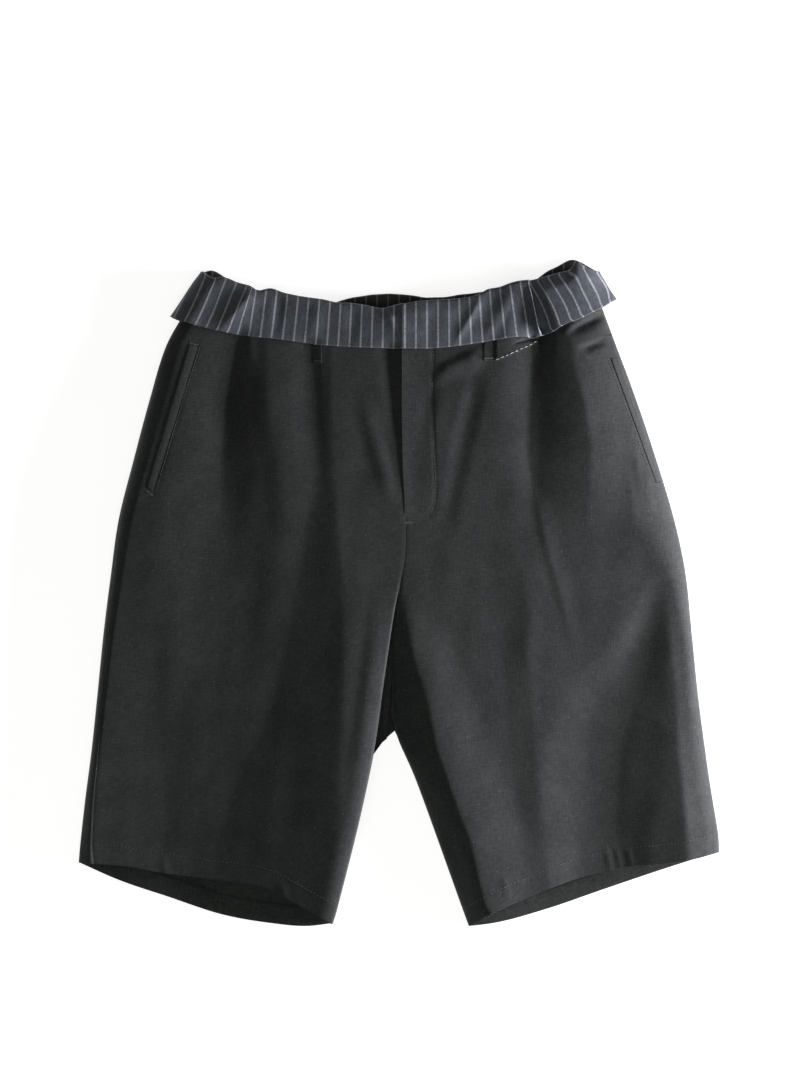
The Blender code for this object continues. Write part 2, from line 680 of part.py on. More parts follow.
def trims():
    for name, (leg, first, last) in WELTS.items():
        strip(name, leg, first, last, 12, 3, WELT_GAP, BAND_CLOTH)
    for name, (leg, first, last) in FRONT_LOOPS.items():
        strip(name, leg, first, last, 5, 2, LAY_GAP, CLOTH)
    for name, x in BACK_LOOPS.items():
        back_loop(name, x)
    strip("band_facing", LEFT, FACING_TOP, FACING_LOW, 3, 5, LAY_GAP, BAND_CLOTH)
    shield_top = Lane(SHIELD_X[0], SHIELD_Y[0], SHIELD_X[1], SHIELD_Y[0])
    shield_low = Lane(SHIELD_X[0], SHIELD_Y[1], SHIELD_X[1], SHIELD_Y[1])
    strip("fly_shield", RIGHT, shield_top, shield_low, 14, 4, -2 * CLOTH - SHIELD_GAP, CLOTH)


def stand_on_origin():
    """Moves every piece so that the origin is under the middle of the whole garment's box."""
    corners = np.array([corner for piece in bpy.data.objects for corner in piece.bound_box])
    middle = (corners.min(axis=0) + corners.max(axis=0)) / 2
    for piece in bpy.data.objects:
        for vertex in piece.data.vertices:
            vertex.co.x -= middle[0]
            vertex.co.y -= middle[1]


for old in list(bpy.data.objects):
    bpy.data.objects.remove(old)
for leg in (RIGHT, LEFT):
    front(leg)
    back(leg)
    waistbands(leg)
bands()
trims()
stand_on_origin()
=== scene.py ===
import math
from collections import namedtuple

import bpy
import numpy as np
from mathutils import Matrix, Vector


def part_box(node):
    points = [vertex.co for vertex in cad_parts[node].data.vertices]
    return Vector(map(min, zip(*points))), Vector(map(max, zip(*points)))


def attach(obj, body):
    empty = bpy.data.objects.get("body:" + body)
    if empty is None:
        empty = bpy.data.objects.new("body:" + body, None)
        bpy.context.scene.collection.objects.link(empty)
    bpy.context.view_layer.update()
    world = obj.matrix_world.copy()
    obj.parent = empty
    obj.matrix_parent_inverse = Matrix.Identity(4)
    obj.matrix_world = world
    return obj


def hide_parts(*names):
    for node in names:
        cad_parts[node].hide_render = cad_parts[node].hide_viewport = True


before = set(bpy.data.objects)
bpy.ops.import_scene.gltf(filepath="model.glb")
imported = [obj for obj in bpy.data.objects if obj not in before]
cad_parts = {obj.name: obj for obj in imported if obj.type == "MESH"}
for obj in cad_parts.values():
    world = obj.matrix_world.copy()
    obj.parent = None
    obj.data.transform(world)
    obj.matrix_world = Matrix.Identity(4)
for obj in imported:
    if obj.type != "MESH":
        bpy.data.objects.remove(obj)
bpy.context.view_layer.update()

# Lengths below are millimetres in the cutter's frame: x to the wearer's left, y to the waist, z up.
# Each half of the garment is a tube. s counts stations from the top edge (0) over the waist seam (1),
# the end of the rise (6) and the fork (9) to the hem (12). c goes round: centre front 0, side fold 16,
# back floor 18 to 23, centre back 25.

station = namedtuple("station", "outerX outerY innerX innerY")
rise = namedtuple("rise", "across height")
inset = namedtuple("inset", "station depth")
level = namedtuple("level", "y crown reach round rim")  # round: how far in the fall to the side fold starts
bend = namedtuple("bend", "x y left right height")  # a point of a fold: each flank's width, and its height
stripe = namedtuple("stripe", "number topX lowX")
notch = namedtuple("notch", "x height width")


def tableOf(kind, *rows):
    return [kind(*row) for row in rows]


def foldTable(*rows):  # each fold: what its flanks are like, then its bends
    return [(kind, tableOf(bend, *path)) for kind, *path in rows]


cloth = {
    "wall": 0.9, "hemWall": 2.1, "bandWall": 0.9, "rimBulge": 0.12, "rimSteps": 3,
    "seamGap": 0.3, "layGap": 0.4, "cadWall": 1.2, "cadBand": 1.0,
}

rightFolds = foldTable(
    # valley that falls from the band, sharp above and slack below
    ("pressed", (-156, 262, 64, 11, -2.4), (-160, 244, 60, 16, -3.8), (-166, 216, 56, 34, -6.0),
     (-172, 184, 60, 44, -6.6), (-175, 146, 60, 50, -4.8), (-177, 105, 60, 56, -2.2),
     (-178, 60, 60, 60, 0)),
    ("soft", (-178, 170, 50, 60, 0), (-180, 110, 55, 66, -2.4), (-181, 60, 60, 72, -3.6),
     (-180, 0, 60, 72, -2.8), (-178, -60, 60, 66, -1.2), (-178, -130, 60, 60, 0)),
    ("soft", (-131, 262, 12, 36, 0.9), (-128, 225, 19, 36, 1.2), (-124, 180, 24, 34, 1.6),
     (-112, 100, 24, 30, 1.0), (-104, 30, 22, 26, 0)),
    ("soft", (-88, 262, 26, 12, -1.4), (-84, 180, 26, 12, -1.7), (-82, 125, 22, 12, -0.9),
     (-80, 96, 20, 12, 0)),
    ("soft", (-66, 250, 9, 36, 0.6), (-66, 190, 10, 40, 1.0), (-64, 130, 12, 40, 0.8),
     (-60, 85, 18, 34, 0)),
    # pressed crease of the leg: cloth climbs to it from the side and stays high within
    ("tent", (-66, 120, 16, 90, 0), (-62, 87, 27, 90, 2.4), (-56, 16, 46, 240, 4.6),
     (-53, -51, 59, 400, 6.0), (-54, -118, 76, 400, 7.4), (-57, -175, 100, 400, 8.8),
     (-58, -240, 122, 400, 10.2), (-62, -310, 128, 400, 10.0)),
    ("tent", (-60, 20, 90, 140, 0), (-56, -40, 130, 300, 2.6), (-53, -110, 170, 400, 5.2),
     (-57, -205, 200, 400, 6.2), (-62, -300, 210, 400, 5.4)),
    # the side falls away a little
    ("tent", (-302, 10, 8, 50, 0), (-299, -60, 8, 56, 1.6), (-302, -110, 8, 62, 3.0),
     (-307, -200, 8, 74, 4.6), (-311, -300, 8, 78, 4.8)),
    # groove of the pocket opening
    ("pressed", (-200.0, 248.5, 9, 2.0, -0.6), (-222.4, 174, 9, 2.0, -0.6),
     (-244.4, 102.5, 8, 2.0, -0.55)),
    # beside the fly
    ("soft", (-36, 205, 14, 14, 0), (-30, 175, 14, 14, 1.2), (-14, 120, 14, 10, 1.2),
     (-8, 90, 12, 8, 0)),
    ("soft", (-8, 250, 20, 14, -1.8), (-6, 220, 16, 12, -1.4), (-4, 175, 12, 8, -0.7),
     (-2, 150, 10, 6, 0)),
    ("soft", (-20, 20, 12, 14, 0), (-27, -60, 12, 14, 0.9), (-36, -130, 12, 14, 0.8),
     (-46, -200, 12, 12, 0)),
    # puckers above the hem
    ("soft", (-236, -256, 7, 6, 0), (-234, -268, 7, 6, 0.6), (-233, -282, 7, 6, 0.4)),
    ("soft", (-120, -282, 8, 7, 0), (-116, -294, 8, 7, 0.7), (-114, -306, 8, 7, 0.4)),
)

rightLeg = {
    "name": "right",
    "side": -1,
    "stations": tableOf(station, (-197, 320, 3, 287.5), (-216, 281, 3, 250), (-234, 247, 3, 222),
        (-250, 195, 3, 180), (-266, 135, 4, 128), (-281, 75, 6, 80), (-289, 18, 5, 36),
        (-296, -38, -5, -20), (-302, -98, -15, -88), (-308, -155, -24, -152), (-314.5, -205, -40, -228),
        (-319.3, -248, -60.5, -309.8), (-321, -268, -66, -329)),
    "levels": tableOf(level, (-335, 11, 18, 9, 0.2), (-250, 12, 19, 9, 0.2), (-150, 15.5, 20, 10, 0.2),
        (20, 23, 22, 14, 0), (150, 24, 22, 18, 0), (245, 20, 20, 18, 0), (325, 17, 18, 18, 0)),
    "innerRound": 17.0, "innerRim": 0.7,
    "seamInset": tableOf(inset, (0, 1.5), (5, 1.5), (6, 3), (9, 8), (10, 10), (12, 16)),
    "seamEnd": -142.0,
    "frontTop": tableOf(rise, (0, 0), (0.035, -5.5), (0.09, -5.5), (0.25, -6), (0.5, -8.5), (0.72, -7),
        (0.88, -7), (1, 0)),
    "backTop": tableOf(rise, (0, 0), (0.03, 3), (0.1, -1), (0.25, -10), (0.6, -14), (0.79, 2.5),
        (1, 10.5)),
    "seam": tableOf(rise, (0, 0), (0.1, -5.3), (0.25, -8.2), (0.46, -7.8), (0.7, -6.8), (0.9, -2.5),
        (1, 0)),
    "frontHem": tableOf(rise, (0, 0), (0.15, 7), (0.35, 10.5), (0.55, 16.5), (0.73, 20), (0.9, 8),
        (1, 0)),
    "backHem": tableOf(rise, (0, 0), (0.15, -7.8), (0.35, -13), (0.57, -17.9), (0.75, -15), (0.9, -9),
        (1, 0)),
    "folds": rightFolds,
}

leftFolds = foldTable(
    # the band's outer part dips where it slips under the front one
    ("pressed", (131, 322, 5, 7, -1.2), (134, 304, 7, 10, -4.6), (139.5, 280, 8, 12, -6.6),
     (144, 258, 8, 13, -6.6), (144, 244, 8, 13, -3.4), (138, 232, 8, 12, 0)),
    # cloth pulled in below the corner of the front one
    ("pressed", (112, 250, 3, 3, 0), (124, 254, 4, 4, -2.6), (133, 256, 5, 4, -4.4),
     (141, 254, 4, 4, -2.0), (147, 250, 3, 3, 0)),
    # drags between the fly and the loop
    ("soft", (88, 246, 9, 14, 0), (72, 237, 10, 18, 2.2), (48, 226, 9, 16, 2.0), (34, 212, 7, 10, 0)),
    ("soft", (78, 232, 12, 16, 0), (73, 195, 13, 16, -1.3), (61, 145, 14, 16, -1.3),
     (52, 95, 12, 14, -0.8), (48, 60, 12, 12, 0)),
    ("soft", (36, 215, 14, 12, 0), (30, 195, 14, 12, -0.9), (26, 160, 14, 12, -0.3),
     (25, 140, 12, 12, 0)),
    # hollow over the hip, with a bright flank before it and a ridge after it
    ("pressed", (134, 258, 28, 40, -4.6), (133, 225, 30, 42, -4.6), (130, 185, 34, 48, -3.6),
     (128, 145, 34, 50, -2.8), (135, 95, 26, 40, -1.4), (142, 55, 22, 36, 0)),
    ("tent", (172, 262, 36, 34, 2.6), (176, 225, 38, 36, 3.2), (186, 190, 48, 34, 4.0),
     (192, 145, 54, 34, 4.6), (190, 100, 52, 40, 2.6), (186, 50, 44, 44, 0)),
    ("pressed", (134, 112, 8, 14, 0), (137, 92, 9, 16, 0.7), (150, 39, 10, 18, 0.9),
     (164, -10, 10, 18, 0.7), (179, -78, 9, 16, 0)),
    # groove of the fly's topstitching
    ("pressed", (34, 250, 3, 3, -0.5), (33, 191, 3, 3, -0.5), (34.6, 149, 3, 3, -0.5),
     (36.5, 107, 3, 3, -0.5), (35.5, 93, 3, 3, -0.5), (31, 81, 3, 3, -0.5), (22, 74.5, 3, 3, -0.45),
     (13, 72.5, 3, 3, -0.3)),
    # pressed crease of the leg
    ("tent", (112, 60, 24, 40, 0), (124, 18, 28, 46, 1.2), (132, -25, 28, 50, 1.6),
     (128, -52, 26, 50, 2.0), (133, -105, 26, 50, 1.9), (136, -158, 26, 52, 1.7),
     (146, -240, 26, 50, 1.7), (151, -300, 26, 50, 1.8)),
    # ridge of the inner thigh
    ("tent", (2, 20, 20, 60, 0), (8, -24, 20, 80, 1.4), (14, -60, 22, 96, 2.8),
     (27, -105, 24, 106, 3.8), (38, -155, 26, 110, 4.4), (56, -205, 28, 110, 4.8),
     (72, -250, 28, 106, 5.0), (86, -310, 28, 96, 4.8)),
    ("soft", (6, 0, 20, 34, 0), (16, -55, 24, 42, 2.2), (33, -105, 26, 44, 3.8),
     (41, -155, 28, 54, 5.2), (58, -205, 30, 62, 6.0), (74, -245, 30, 60, 6.4),
     (88, -310, 30, 58, 6.0)),
    # drag that widens down the outside
    ("soft", (262, 20, 12, 14, 0), (252, -10, 18, 22, -1.6), (238, -55, 28, 38, -3.2),
     (205, -105, 42, 74, -4.0), (190, -155, 50, 86, -4.1), (186, -220, 52, 92, -4.0),
     (188, -290, 52, 92, -4.0)),
    ("tent", (268, -10, 10, 20, 0), (272, -55, 22, 24, 1.4), (277, -105, 40, 26, 2.8),
     (279, -155, 58, 28, 5.2), (286, -220, 70, 26, 6.6), (290, -280, 70, 26, 6.4)),
    # groove of the pocket opening, which runs up past the welt
    ("pressed", (209.6, 259, 1.8, 1.8, -0.7), (213, 244, 2, 2.2, -0.5), (219.6, 225, 2, 2.2, -0.5),
     (236, 180, 2, 2.2, -0.5), (250.6, 139, 2, 2.2, -0.4), (258, 116, 2, 2.2, 0)),
    # short drags at the pocket
    ("soft", (236, 158, 5, 6, 0), (238, 130, 5, 6, 1.0), (243, 92, 5, 6, 0)),
    ("soft", (246, 140, 5, 6, 0), (248, 112, 5, 6, 0.9), (252, 74, 5, 6, 0)),
    ("soft", (228, 130, 5, 6, 0), (231, 104, 5, 6, 0.7), (236, 66, 5, 6, 0)),
    # small creases below the band
    ("pressed", (168, 260, 8, 7, 0), (178, 267, 11, 9, -4.2), (190, 273, 13, 9, -5.8),
     (202, 279, 10, 7, -5.2)),
    ("pressed", (178, 246, 6, 4, 0), (188, 248, 9, 5, -4.4), (197, 251, 9, 5, -4.0),
     (206, 255, 6, 4, -1.5)),
    # puckers above the hem
    ("soft", (206, -250, 4, 4, 0), (209, -262, 4, 4, 0.6), (211, -276, 4, 4, 0.4)),
    ("soft", (216, -250, 4, 4, 0), (219, -261, 4, 4, 0.6), (221, -274, 4, 4, 0.4)),
    ("soft", (228, -250, 4, 4, 0), (230, -259, 4, 4, 0.5), (232, -271, 4, 4, 0.3)),
    ("soft", (104, -276, 6, 6, 0), (106, -288, 6, 6, 0.7), (108, -300, 6, 6, 0.4)),
)

leftLeg = {
    "name": "left",
    "side": 1,
    "stations": tableOf(station, (199, 321, 3, 287.5), (200, 299, 3, 250), (215, 256, 3, 222),
        (238, 195, 3, 180), (258, 135, 4, 128), (276, 75, 6, 80), (287, 22, 5, 36), (293, -35, -6, -32),
        (299, -95, -7, -90), (305, -142, -3.5, -136), (311.5, -188, 19, -191), (319.5, -237, 63, -313),
        (321, -257, 70, -332)),
    "levels": tableOf(level, (-335, 15, 44, 15, 0.4), (-250, 17, 44, 15, 0.42),
        (-150, 19.5, 46, 15, 0.42), (-35, 22, 52, 12, 0.42), (20, 24, 52, 20, 0.3), (95, 24, 51, 52, 0),
        (150, 24, 50, 60, 0), (245, 20, 28, 44, 0), (325, 17, 20, 20, 0)),
    "innerRound": 25.0, "innerRim": 0.0,
    "seamInset": tableOf(inset, (0, 0), (12, 0)),
    "seamEnd": -124.0,
    "frontTop": tableOf(rise, (0, 0), (0.15, 4.8), (0.31, 2.2), (0.51, 1), (0.61, -3.5), (0.87, -1),
        (1, 0)),
    "backTop": tableOf(rise, (0, 0), (0.12, 14.5), (0.24, 9), (0.4, -4), (0.55, -1), (0.8, 1),
        (1, 10.5)),
    "seam": tableOf(rise, (0, 0), (0.13, -15), (0.27, -21), (0.43, -16), (0.65, -12.5), (0.87, -6.5),
        (1, 0)),
    "frontHem": tableOf(rise, (0, 0), (0.13, 2), (0.24, 6.6), (0.4, 13.8), (0.77, 12.8), (0.93, 6),
        (1, 0)),
    "backHem": tableOf(rise, (0, 0), (0.2, -0.9), (0.47, -3.5), (0.69, -6), (0.91, -4), (1, 0)),
    "folds": leftFolds,
}

body = {
    "waistSeam": 1.0, "riseEnd": 6.0, "fork": 9.0, "turnUp": 11.0, "hem": 12.0,
    "waistBowEnd": 4.0, "forkClosing": 0.15,
    "innerRound": 4.0, "outerRound": 11.0, "sideFold": 16.0,
    "backFloor": 18.0, "backInner": 23.0, "backCentre": 25.0,
    "sideRadius": 3.2, "waistRadiusMore": 1.4,
    "innerReach": 45.0, "forkLow": -225.0, "riseX": 5.0, "riseY": 36.0, "liftFrom": 200.0, "liftTo": 228.0,
    "rimWidth": 1.6, "cornerEase": 0.035, "cornerRound": 0.0012,
    "ridgeStart": (-2, 7), "troughStart": (-12, 2),  # how far below the band a fold reaches its height
    "ripple": 0.14, "rippleTurns": 0.012,  # height of the slack between the folds
    "waves": ((0.016, 0.003, 0.4), (-0.023, 0.005, 2.1), (0.034, -0.004, 4.4)),  # turns per mm and phase
}
fly = {"edgeX": 3.0, "endY": 72.0, "ramp": 12.0, "raise": 1.5, "width": 9.0,
       "gape": 0.8, "gapeY": (185.0, 245.0), "gapeBelow": (-2, 14)}  # it stands off more towards the top
fork = {
    "tuck": 6.0, "sag": 5.0, "crumple": 0.5, "crumpleDown": 9, "crumpleAcross": 14, "aboveFloor": 0.05,
    "topY": 44.0, "saddleX": -12.0, "saddleY": -140.0, "slope": 0.9, "under": 14.0,
    "rows": 44, "columns": 14,
}


def smoothStep(low, high, value):
    t = np.clip((np.asarray(value, float) - low) / (high - low), 0, 1)
    return t * t * (3 - 2 * t)


def through(knots, values, at):  # a smooth curve through pairs
    knots = np.asarray(knots, float)
    values = np.asarray(values, float)
    slopes = np.gradient(values, knots)
    at = np.clip(np.asarray(at, float), knots[0], knots[-1])
    i = np.clip(np.searchsorted(knots, at, side="right") - 1, 0, len(knots) - 2)
    step = knots[i + 1] - knots[i]
    t = (at - knots[i]) / step
    start = (2 * t**3 - 3 * t**2 + 1) * values[i] + (t**3 - 2 * t**2 + t) * step * slopes[i]
    end = (3 * t**2 - 2 * t**3) * values[i + 1] + (t**3 - t**2) * step * slopes[i + 1]
    return start + end


def read(table, knot, value, at):
    return through([getattr(row, knot) for row in table], [getattr(row, value) for row in table], at)


def stationAt(leg, name, s):
    return through(range(len(leg["stations"])), [getattr(row, name) for row in leg["stations"]], s)


def outlineX(leg, edge, y):
    s = np.linspace(0, body["hem"], 481)
    ys = stationAt(leg, edge + "Y", s)
    xs = stationAt(leg, edge + "X", s)
    return np.interp(y, ys[::-1], xs[::-1])


def unit(vectors):
    return vectors / np.maximum(np.linalg.norm(vectors, axis=-1, keepdims=True), 1e-9)


def rounding(t):
    return np.sqrt(1 - (1 - np.clip(t, 0, 1)) ** 2)


def oneFold(kind, path, x, y):
    nearest = np.full(np.shape(x), 1e9)
    side, left, right, height = (np.zeros(np.shape(x)) for _ in range(4))
    for a, b in zip(path, path[1:]):
        runX, runY = b.x - a.x, b.y - a.y
        t = np.clip(((x - a.x) * runX + (y - a.y) * runY) / (runX**2 + runY**2), 0, 1)
        dx, dy = x - a.x - t * runX, y - a.y - t * runY
        away = np.hypot(dx, dy)
        near = away < nearest
        nearest = np.where(near, away, nearest)
        side = np.where(near, runX * dy - runY * dx, side)
        left = np.where(near, a.left + (b.left - a.left) * t, left)
        right = np.where(near, a.right + (b.right - a.right) * t, right)
        height = np.where(near, a.height + (b.height - a.height) * t, height)
    t = np.clip(nearest / np.where(side > 0, right, left), 0, 1)
    if kind == "soft":
        return height * 0.5 * (1 + np.cos(math.pi * t))
    t = np.clip(np.sqrt(t**2 + body["cornerRound"]) - body["cornerEase"], 0, 1)  # eases the sharp line
    return height * (1 - t) ** (2 if kind == "pressed" else 1.15)


def slack(x, y):  # low long waves down the cloth, so that no stretch of it is dead flat
    waves = (np.sin(2 * math.pi * (x * across + y * down) + phase) * body["rippleTurns"] / abs(across)
             for across, down, phase in body["waves"])
    return body["ripple"] * sum(waves)


def foldHeight(leg, x, y):
    total = slack(x, y)
    for kind, path in leg["folds"]:
        total = total + oneFold(kind, path, x, y)
    below = waistLine(leg, x) - y  # under the band the cloth lies flat
    ridge, trough = (smoothStep(*body[start], below) for start in ("ridgeStart", "troughStart"))
    return np.where(total > 0, total * ridge, total * trough)


def lift(y):
    return outTo["band"] * smoothStep(body["liftFrom"], body["liftTo"], y)


def foldRadius(y):
    return body["sideRadius"] + body["waistRadiusMore"] * smoothStep(body["liftFrom"], body["liftTo"], y)


def edgeFall(distance, width, rim):  # a share of the height, rim, stands at the very edge
    return rim * rounding(distance / body["rimWidth"]) + (1 - rim) * rounding(distance / width)


def outerReach(leg, y):
    return read(leg["levels"], "y", "reach", y)


def topHeight(leg, x, y):
    edge = lift(y) + foldRadius(y)
    parting = smoothStep(body["forkLow"], body["riseY"], y)
    fromOuter = leg["side"] * (outlineX(leg, "outer", y) - x)
    fromInner = leg["side"] * (x - outlineX(leg, "inner", y))
    inner = parting + (1 - parting) * edgeFall(fromInner, leg["innerRound"], leg["innerRim"])
    crown, width, rim = (read(leg["levels"], "y", name, y) for name in ("crown", "round", "rim"))
    share = edgeFall(fromOuter, width, rim) * inner
    height = edge + (crown + foldHeight(leg, x, y) - edge) * share
    if leg is leftLeg:
        lap = np.exp(-np.clip(x - outlineX(leg, "inner", y), 0, None) / fly["width"])
        opening = smoothStep(*fly["gapeY"], y) * smoothStep(*fly["gapeBelow"], waistLine(leg, x) - y)
        stand = fly["raise"] + fly["gape"] * opening
        height = height + stand * lap * smoothStep(fly["endY"], fly["endY"] + fly["ramp"], y)
    return height


def backSeamX(y):
    down = body["riseY"] - y
    return body["riseX"] + (fork["saddleX"] - body["riseX"]) * down / (body["riseY"] - fork["saddleY"])


def bowAt(leg, face, s, across):
    top = read(leg[face + "Top"], "across", "height", across)
    seam = read(leg["seam"], "across", "height", across)
    hem = read(leg[face + "Hem"], "across", "height", across)
    below = seam * smoothStep(body["waistBowEnd"], body["waistSeam"], s)
    waist = np.where(s < body["waistSeam"], top + (seam - top) * s, below)
    return waist + hem * smoothStep(body["fork"], body["turnUp"], s)


def fromSide(width, reach, radius, c):  # how far the cloth lies from the side fold, seen from above
    zones = ("innerRound", "outerRound", "sideFold", "backFloor", "backInner", "backCentre")
    innerRound, outerRound, sideFold, backFloor, backInner, backCentre = (body[zone] for zone in zones)
    quarter = math.pi / 2
    inner = quarter * np.clip(c / innerRound, 0, 1)
    middle = (c - innerRound) / (outerRound - innerRound)
    outer = quarter * np.clip((sideFold - c) / (sideFold - outerRound), 0, 1)
    under = quarter * np.clip((c - sideFold) / (backFloor - sideFold), 0, 1)
    along = (c - backFloor) / (backInner - backFloor)
    back = quarter * np.clip((backCentre - c) / (backCentre - backInner), 0, 1)
    return np.select(
        [c < innerRound, c < outerRound, c < sideFold, c < backFloor, c < backInner],
        [
            width - body["innerReach"] * (1 - np.cos(inner)),
            (width - body["innerReach"]) * (1 - middle) + reach * middle,
            reach * (1 - np.cos(outer)),
            radius * (1 - np.cos(under)),
            radius + (width - 2 * radius) * along,
        ],
        width - radius * (1 - np.cos(back)),
    )


def plan(leg, s, c):  # the tube seen from above
    s, c = np.broadcast_arrays(np.asarray(s, float), np.asarray(c, float))
    outerX, outerY, innerX, innerY = (stationAt(leg, name, s) for name in station._fields)
    onBack = c > body["sideFold"]
    toSaddle = onBack & (s > body["riseEnd"]) & (s < body["fork"])
    down = (s - body["riseEnd"]) / (body["fork"] - body["riseEnd"])
    innerY = np.where(toSaddle, body["riseY"] + (leg["seamEnd"] - body["riseY"]) * down, innerY)
    innerX = np.where(toSaddle, backSeamX(innerY), innerX)
    width = np.abs(innerX - outerX)
    across = fromSide(width, outerReach(leg, outerY), foldRadius(outerY), c) / width
    x = outerX + (innerX - outerX) * across
    bow = np.where(onBack, bowAt(leg, "back", s, across), bowAt(leg, "front", s, across))
    y = outerY + (innerY - outerY) * across + bow
    return s, c, x, y, innerX, innerY, outerY, onBack


waistLines = {}


def waistLine(leg, x):  # y of the band's lower edge
    if leg["name"] not in waistLines:
        c = np.linspace(0, body["sideFold"], 60)
        across = plan(leg, 1.1, c)
        order = np.argsort(across[2])
        waistLines[leg["name"]] = (across[2][order], across[3][order])
    xs, ys = waistLines[leg["name"]]
    return np.interp(x, xs, ys)


def tube(leg, s, c):
    s, c, x, y, innerX, innerY, outerY, onBack = plan(leg, s, c)
    turn = np.clip((c - body["sideFold"]) / (body["backFloor"] - body["sideFold"]), 0, 1) * math.pi / 2
    curl = np.clip((body["backCentre"] - c) / (body["backCentre"] - body["backInner"]), 0, 1) * math.pi / 2
    closed = np.clip((s - body["fork"] + body["forkClosing"]) / body["forkClosing"], 0, 1)
    onFloor = lift(y) + foldRadius(outerY) * (1 - np.sin(turn))
    if onBack.any():
        onFloor = onFloor + closed * topHeight(leg, innerX, innerY) * (1 - np.sin(curl))
    z = onFloor if onBack.all() else np.where(onBack, onFloor, topHeight(leg, x, y))
    return np.stack([x, y, z], axis=-1)


def outward(leg, s, c):
    s, c = np.broadcast_arrays(np.asarray(s, float), np.asarray(c, float))
    stepC, stepS, end = 0.06, 0.02, body["backCentre"]
    after = np.where(s >= body["fork"], (c + stepC) % end, np.minimum(c + stepC, end))
    before = np.where(s >= body["fork"], (c - stepC) % end, np.maximum(c - stepC, 0))
    roundIt = tube(leg, s, after) - tube(leg, s, before)
    alongIt = tube(leg, np.minimum(s + stepS, body["hem"]), c) - tube(leg, np.maximum(s - stepS, 0), c)
    return unit(-leg["side"] * np.cross(roundIt, alongIt))


def seamColumn(leg, s):
    depth = read(leg["seamInset"], "station", "depth", s)
    angle = np.arccos(1 - depth / outerReach(leg, stationAt(leg, "outerY", s)))
    return body["sideFold"] - angle / (math.pi / 2) * (body["sideFold"] - body["outerRound"])


def beside(leg, s, c, direction, gap):
    perColumn = np.linalg.norm(tube(leg, s, c + direction) - tube(leg, s, c), axis=-1)
    return c + direction * gap / 2 / perColumn


def gridNormals(points, rows=None, up=1):  # the first rows decide which side is up
    normals = unit(np.cross(np.gradient(points, axis=1), np.gradient(points, axis=0)))
    return normals * (1 if normals[:rows, :, 2].sum() * up > 0 else -1)


def hexLinear(code):
    def one(v):
        v = v / 255
        return v / 12.92 if v <= 0.04045 else ((v + 0.055) / 1.055) ** 2.4
    return tuple(one(int(code[i:i + 2], 16)) for i in (1, 3, 5)) + (1.0,)


def addNode(tree, kind, settings=None, inputs=None):
    node = tree.nodes.new(kind)
    for key, value in (settings or {}).items():
        setattr(node, key, value)
    for key, value in (inputs or {}).items():
        if isinstance(value, bpy.types.NodeSocket):
            tree.links.new(value, node.inputs[key])
        else:
            node.inputs[key].default_value = value
    return node


# Where the cutter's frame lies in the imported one, read from the low corner of the centre back loop
outTo = {"band": cloth["layGap"] + cloth["cadWall"] + cloth["seamGap"] + cloth["cadBand"]}
outTo["bandInside"] = -(cloth["cadWall"] + cloth["layGap"] + cloth["cadBand"])
cutCorner = (-3.0, 233.0)
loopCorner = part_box("belt_loop_back_centre")[0]
shift = np.array((loopCorner[0] * 1000 - cutCorner[0], loopCorner[1] * 1000 - cutCorner[1], 0.0))
print("frame shift", np.round(shift, 3))


def toMetres(points):
    return (np.asarray(points) + shift) / 1000


def meshPiece(name, points, faces, uvs, material):
    mesh = bpy.data.meshes.new(name)
    mesh.from_pydata(toMetres(points).tolist(), [], faces)
    layer = mesh.uv_layers.new(name="cloth")
    loopVertices = np.empty(len(mesh.loops), np.int32)
    mesh.loops.foreach_get("vertex_index", loopVertices)
    layer.data.foreach_set("uv", np.asarray(uvs, np.float32)[loopVertices].ravel())
    mesh.materials.append(material)
    mesh.shade_smooth()
    piece = bpy.data.objects.new(name, mesh)
    bpy.context.collection.objects.link(piece)
    return piece


def clothShell(points, normals, wall, uvs):  # a thin closed cloth with a rounded rim
    rows, columns = points.shape[:2]
    wall = np.broadcast_to(np.asarray(wall, float).reshape(-1, 1, 1), (rows, 1, 1))
    inner = points - normals * wall
    rim = [(0, j) for j in range(columns)] + [(i, columns - 1) for i in range(1, rows)]
    rim += [(rows - 1, j) for j in range(columns - 2, -1, -1)] + [(i, 0) for i in range(rows - 2, 0, -1)]
    ii, jj = np.array(rim).T
    away = unit(points[ii, jj] - points[np.clip(ii, 1, rows - 2), np.clip(jj, 1, columns - 2)])
    middle = (points[ii, jj] + inner[ii, jj]) / 2
    half = (points[ii, jj] - inner[ii, jj]) / 2
    rings = [middle + half * math.cos(angle) + away * (cloth["rimBulge"] * math.sin(angle))
             for angle in np.linspace(0, math.pi, cloth["rimSteps"] + 2)[1:-1]]
    count = rows * columns
    index = np.arange(count).reshape(rows, columns)
    corners = [index[:-1, :-1], index[1:, :-1], index[1:, 1:], index[:-1, 1:]]
    quads = np.stack(corners, axis=-1).reshape(-1, 4)
    chain = [index[ii, jj], *(2 * count + k * len(rim) + np.arange(len(rim)) for k in range(len(rings))),
             index[ii, jj] + count]
    sides = np.concatenate([np.stack([a, b, np.roll(b, -1), np.roll(a, -1)], axis=-1)
                            for a, b in zip(chain, chain[1:])])
    facing = np.cross(points[1, 0] - points[0, 0], points[0, 1] - points[0, 0])
    if np.dot(facing, normals[0, 0]) < 0:
        quads, sides = quads[:, ::-1], sides[:, ::-1]
    vertices = np.concatenate([points.reshape(-1, 3), inner.reshape(-1, 3), *rings])
    flat = uvs.reshape(-1, 2)
    everyUv = np.concatenate([flat, flat, *[uvs[ii, jj]] * len(rings)])
    faces = np.concatenate([quads, quads[:, ::-1] + count, sides[:, ::-1]])
    return vertices, faces, everyUv


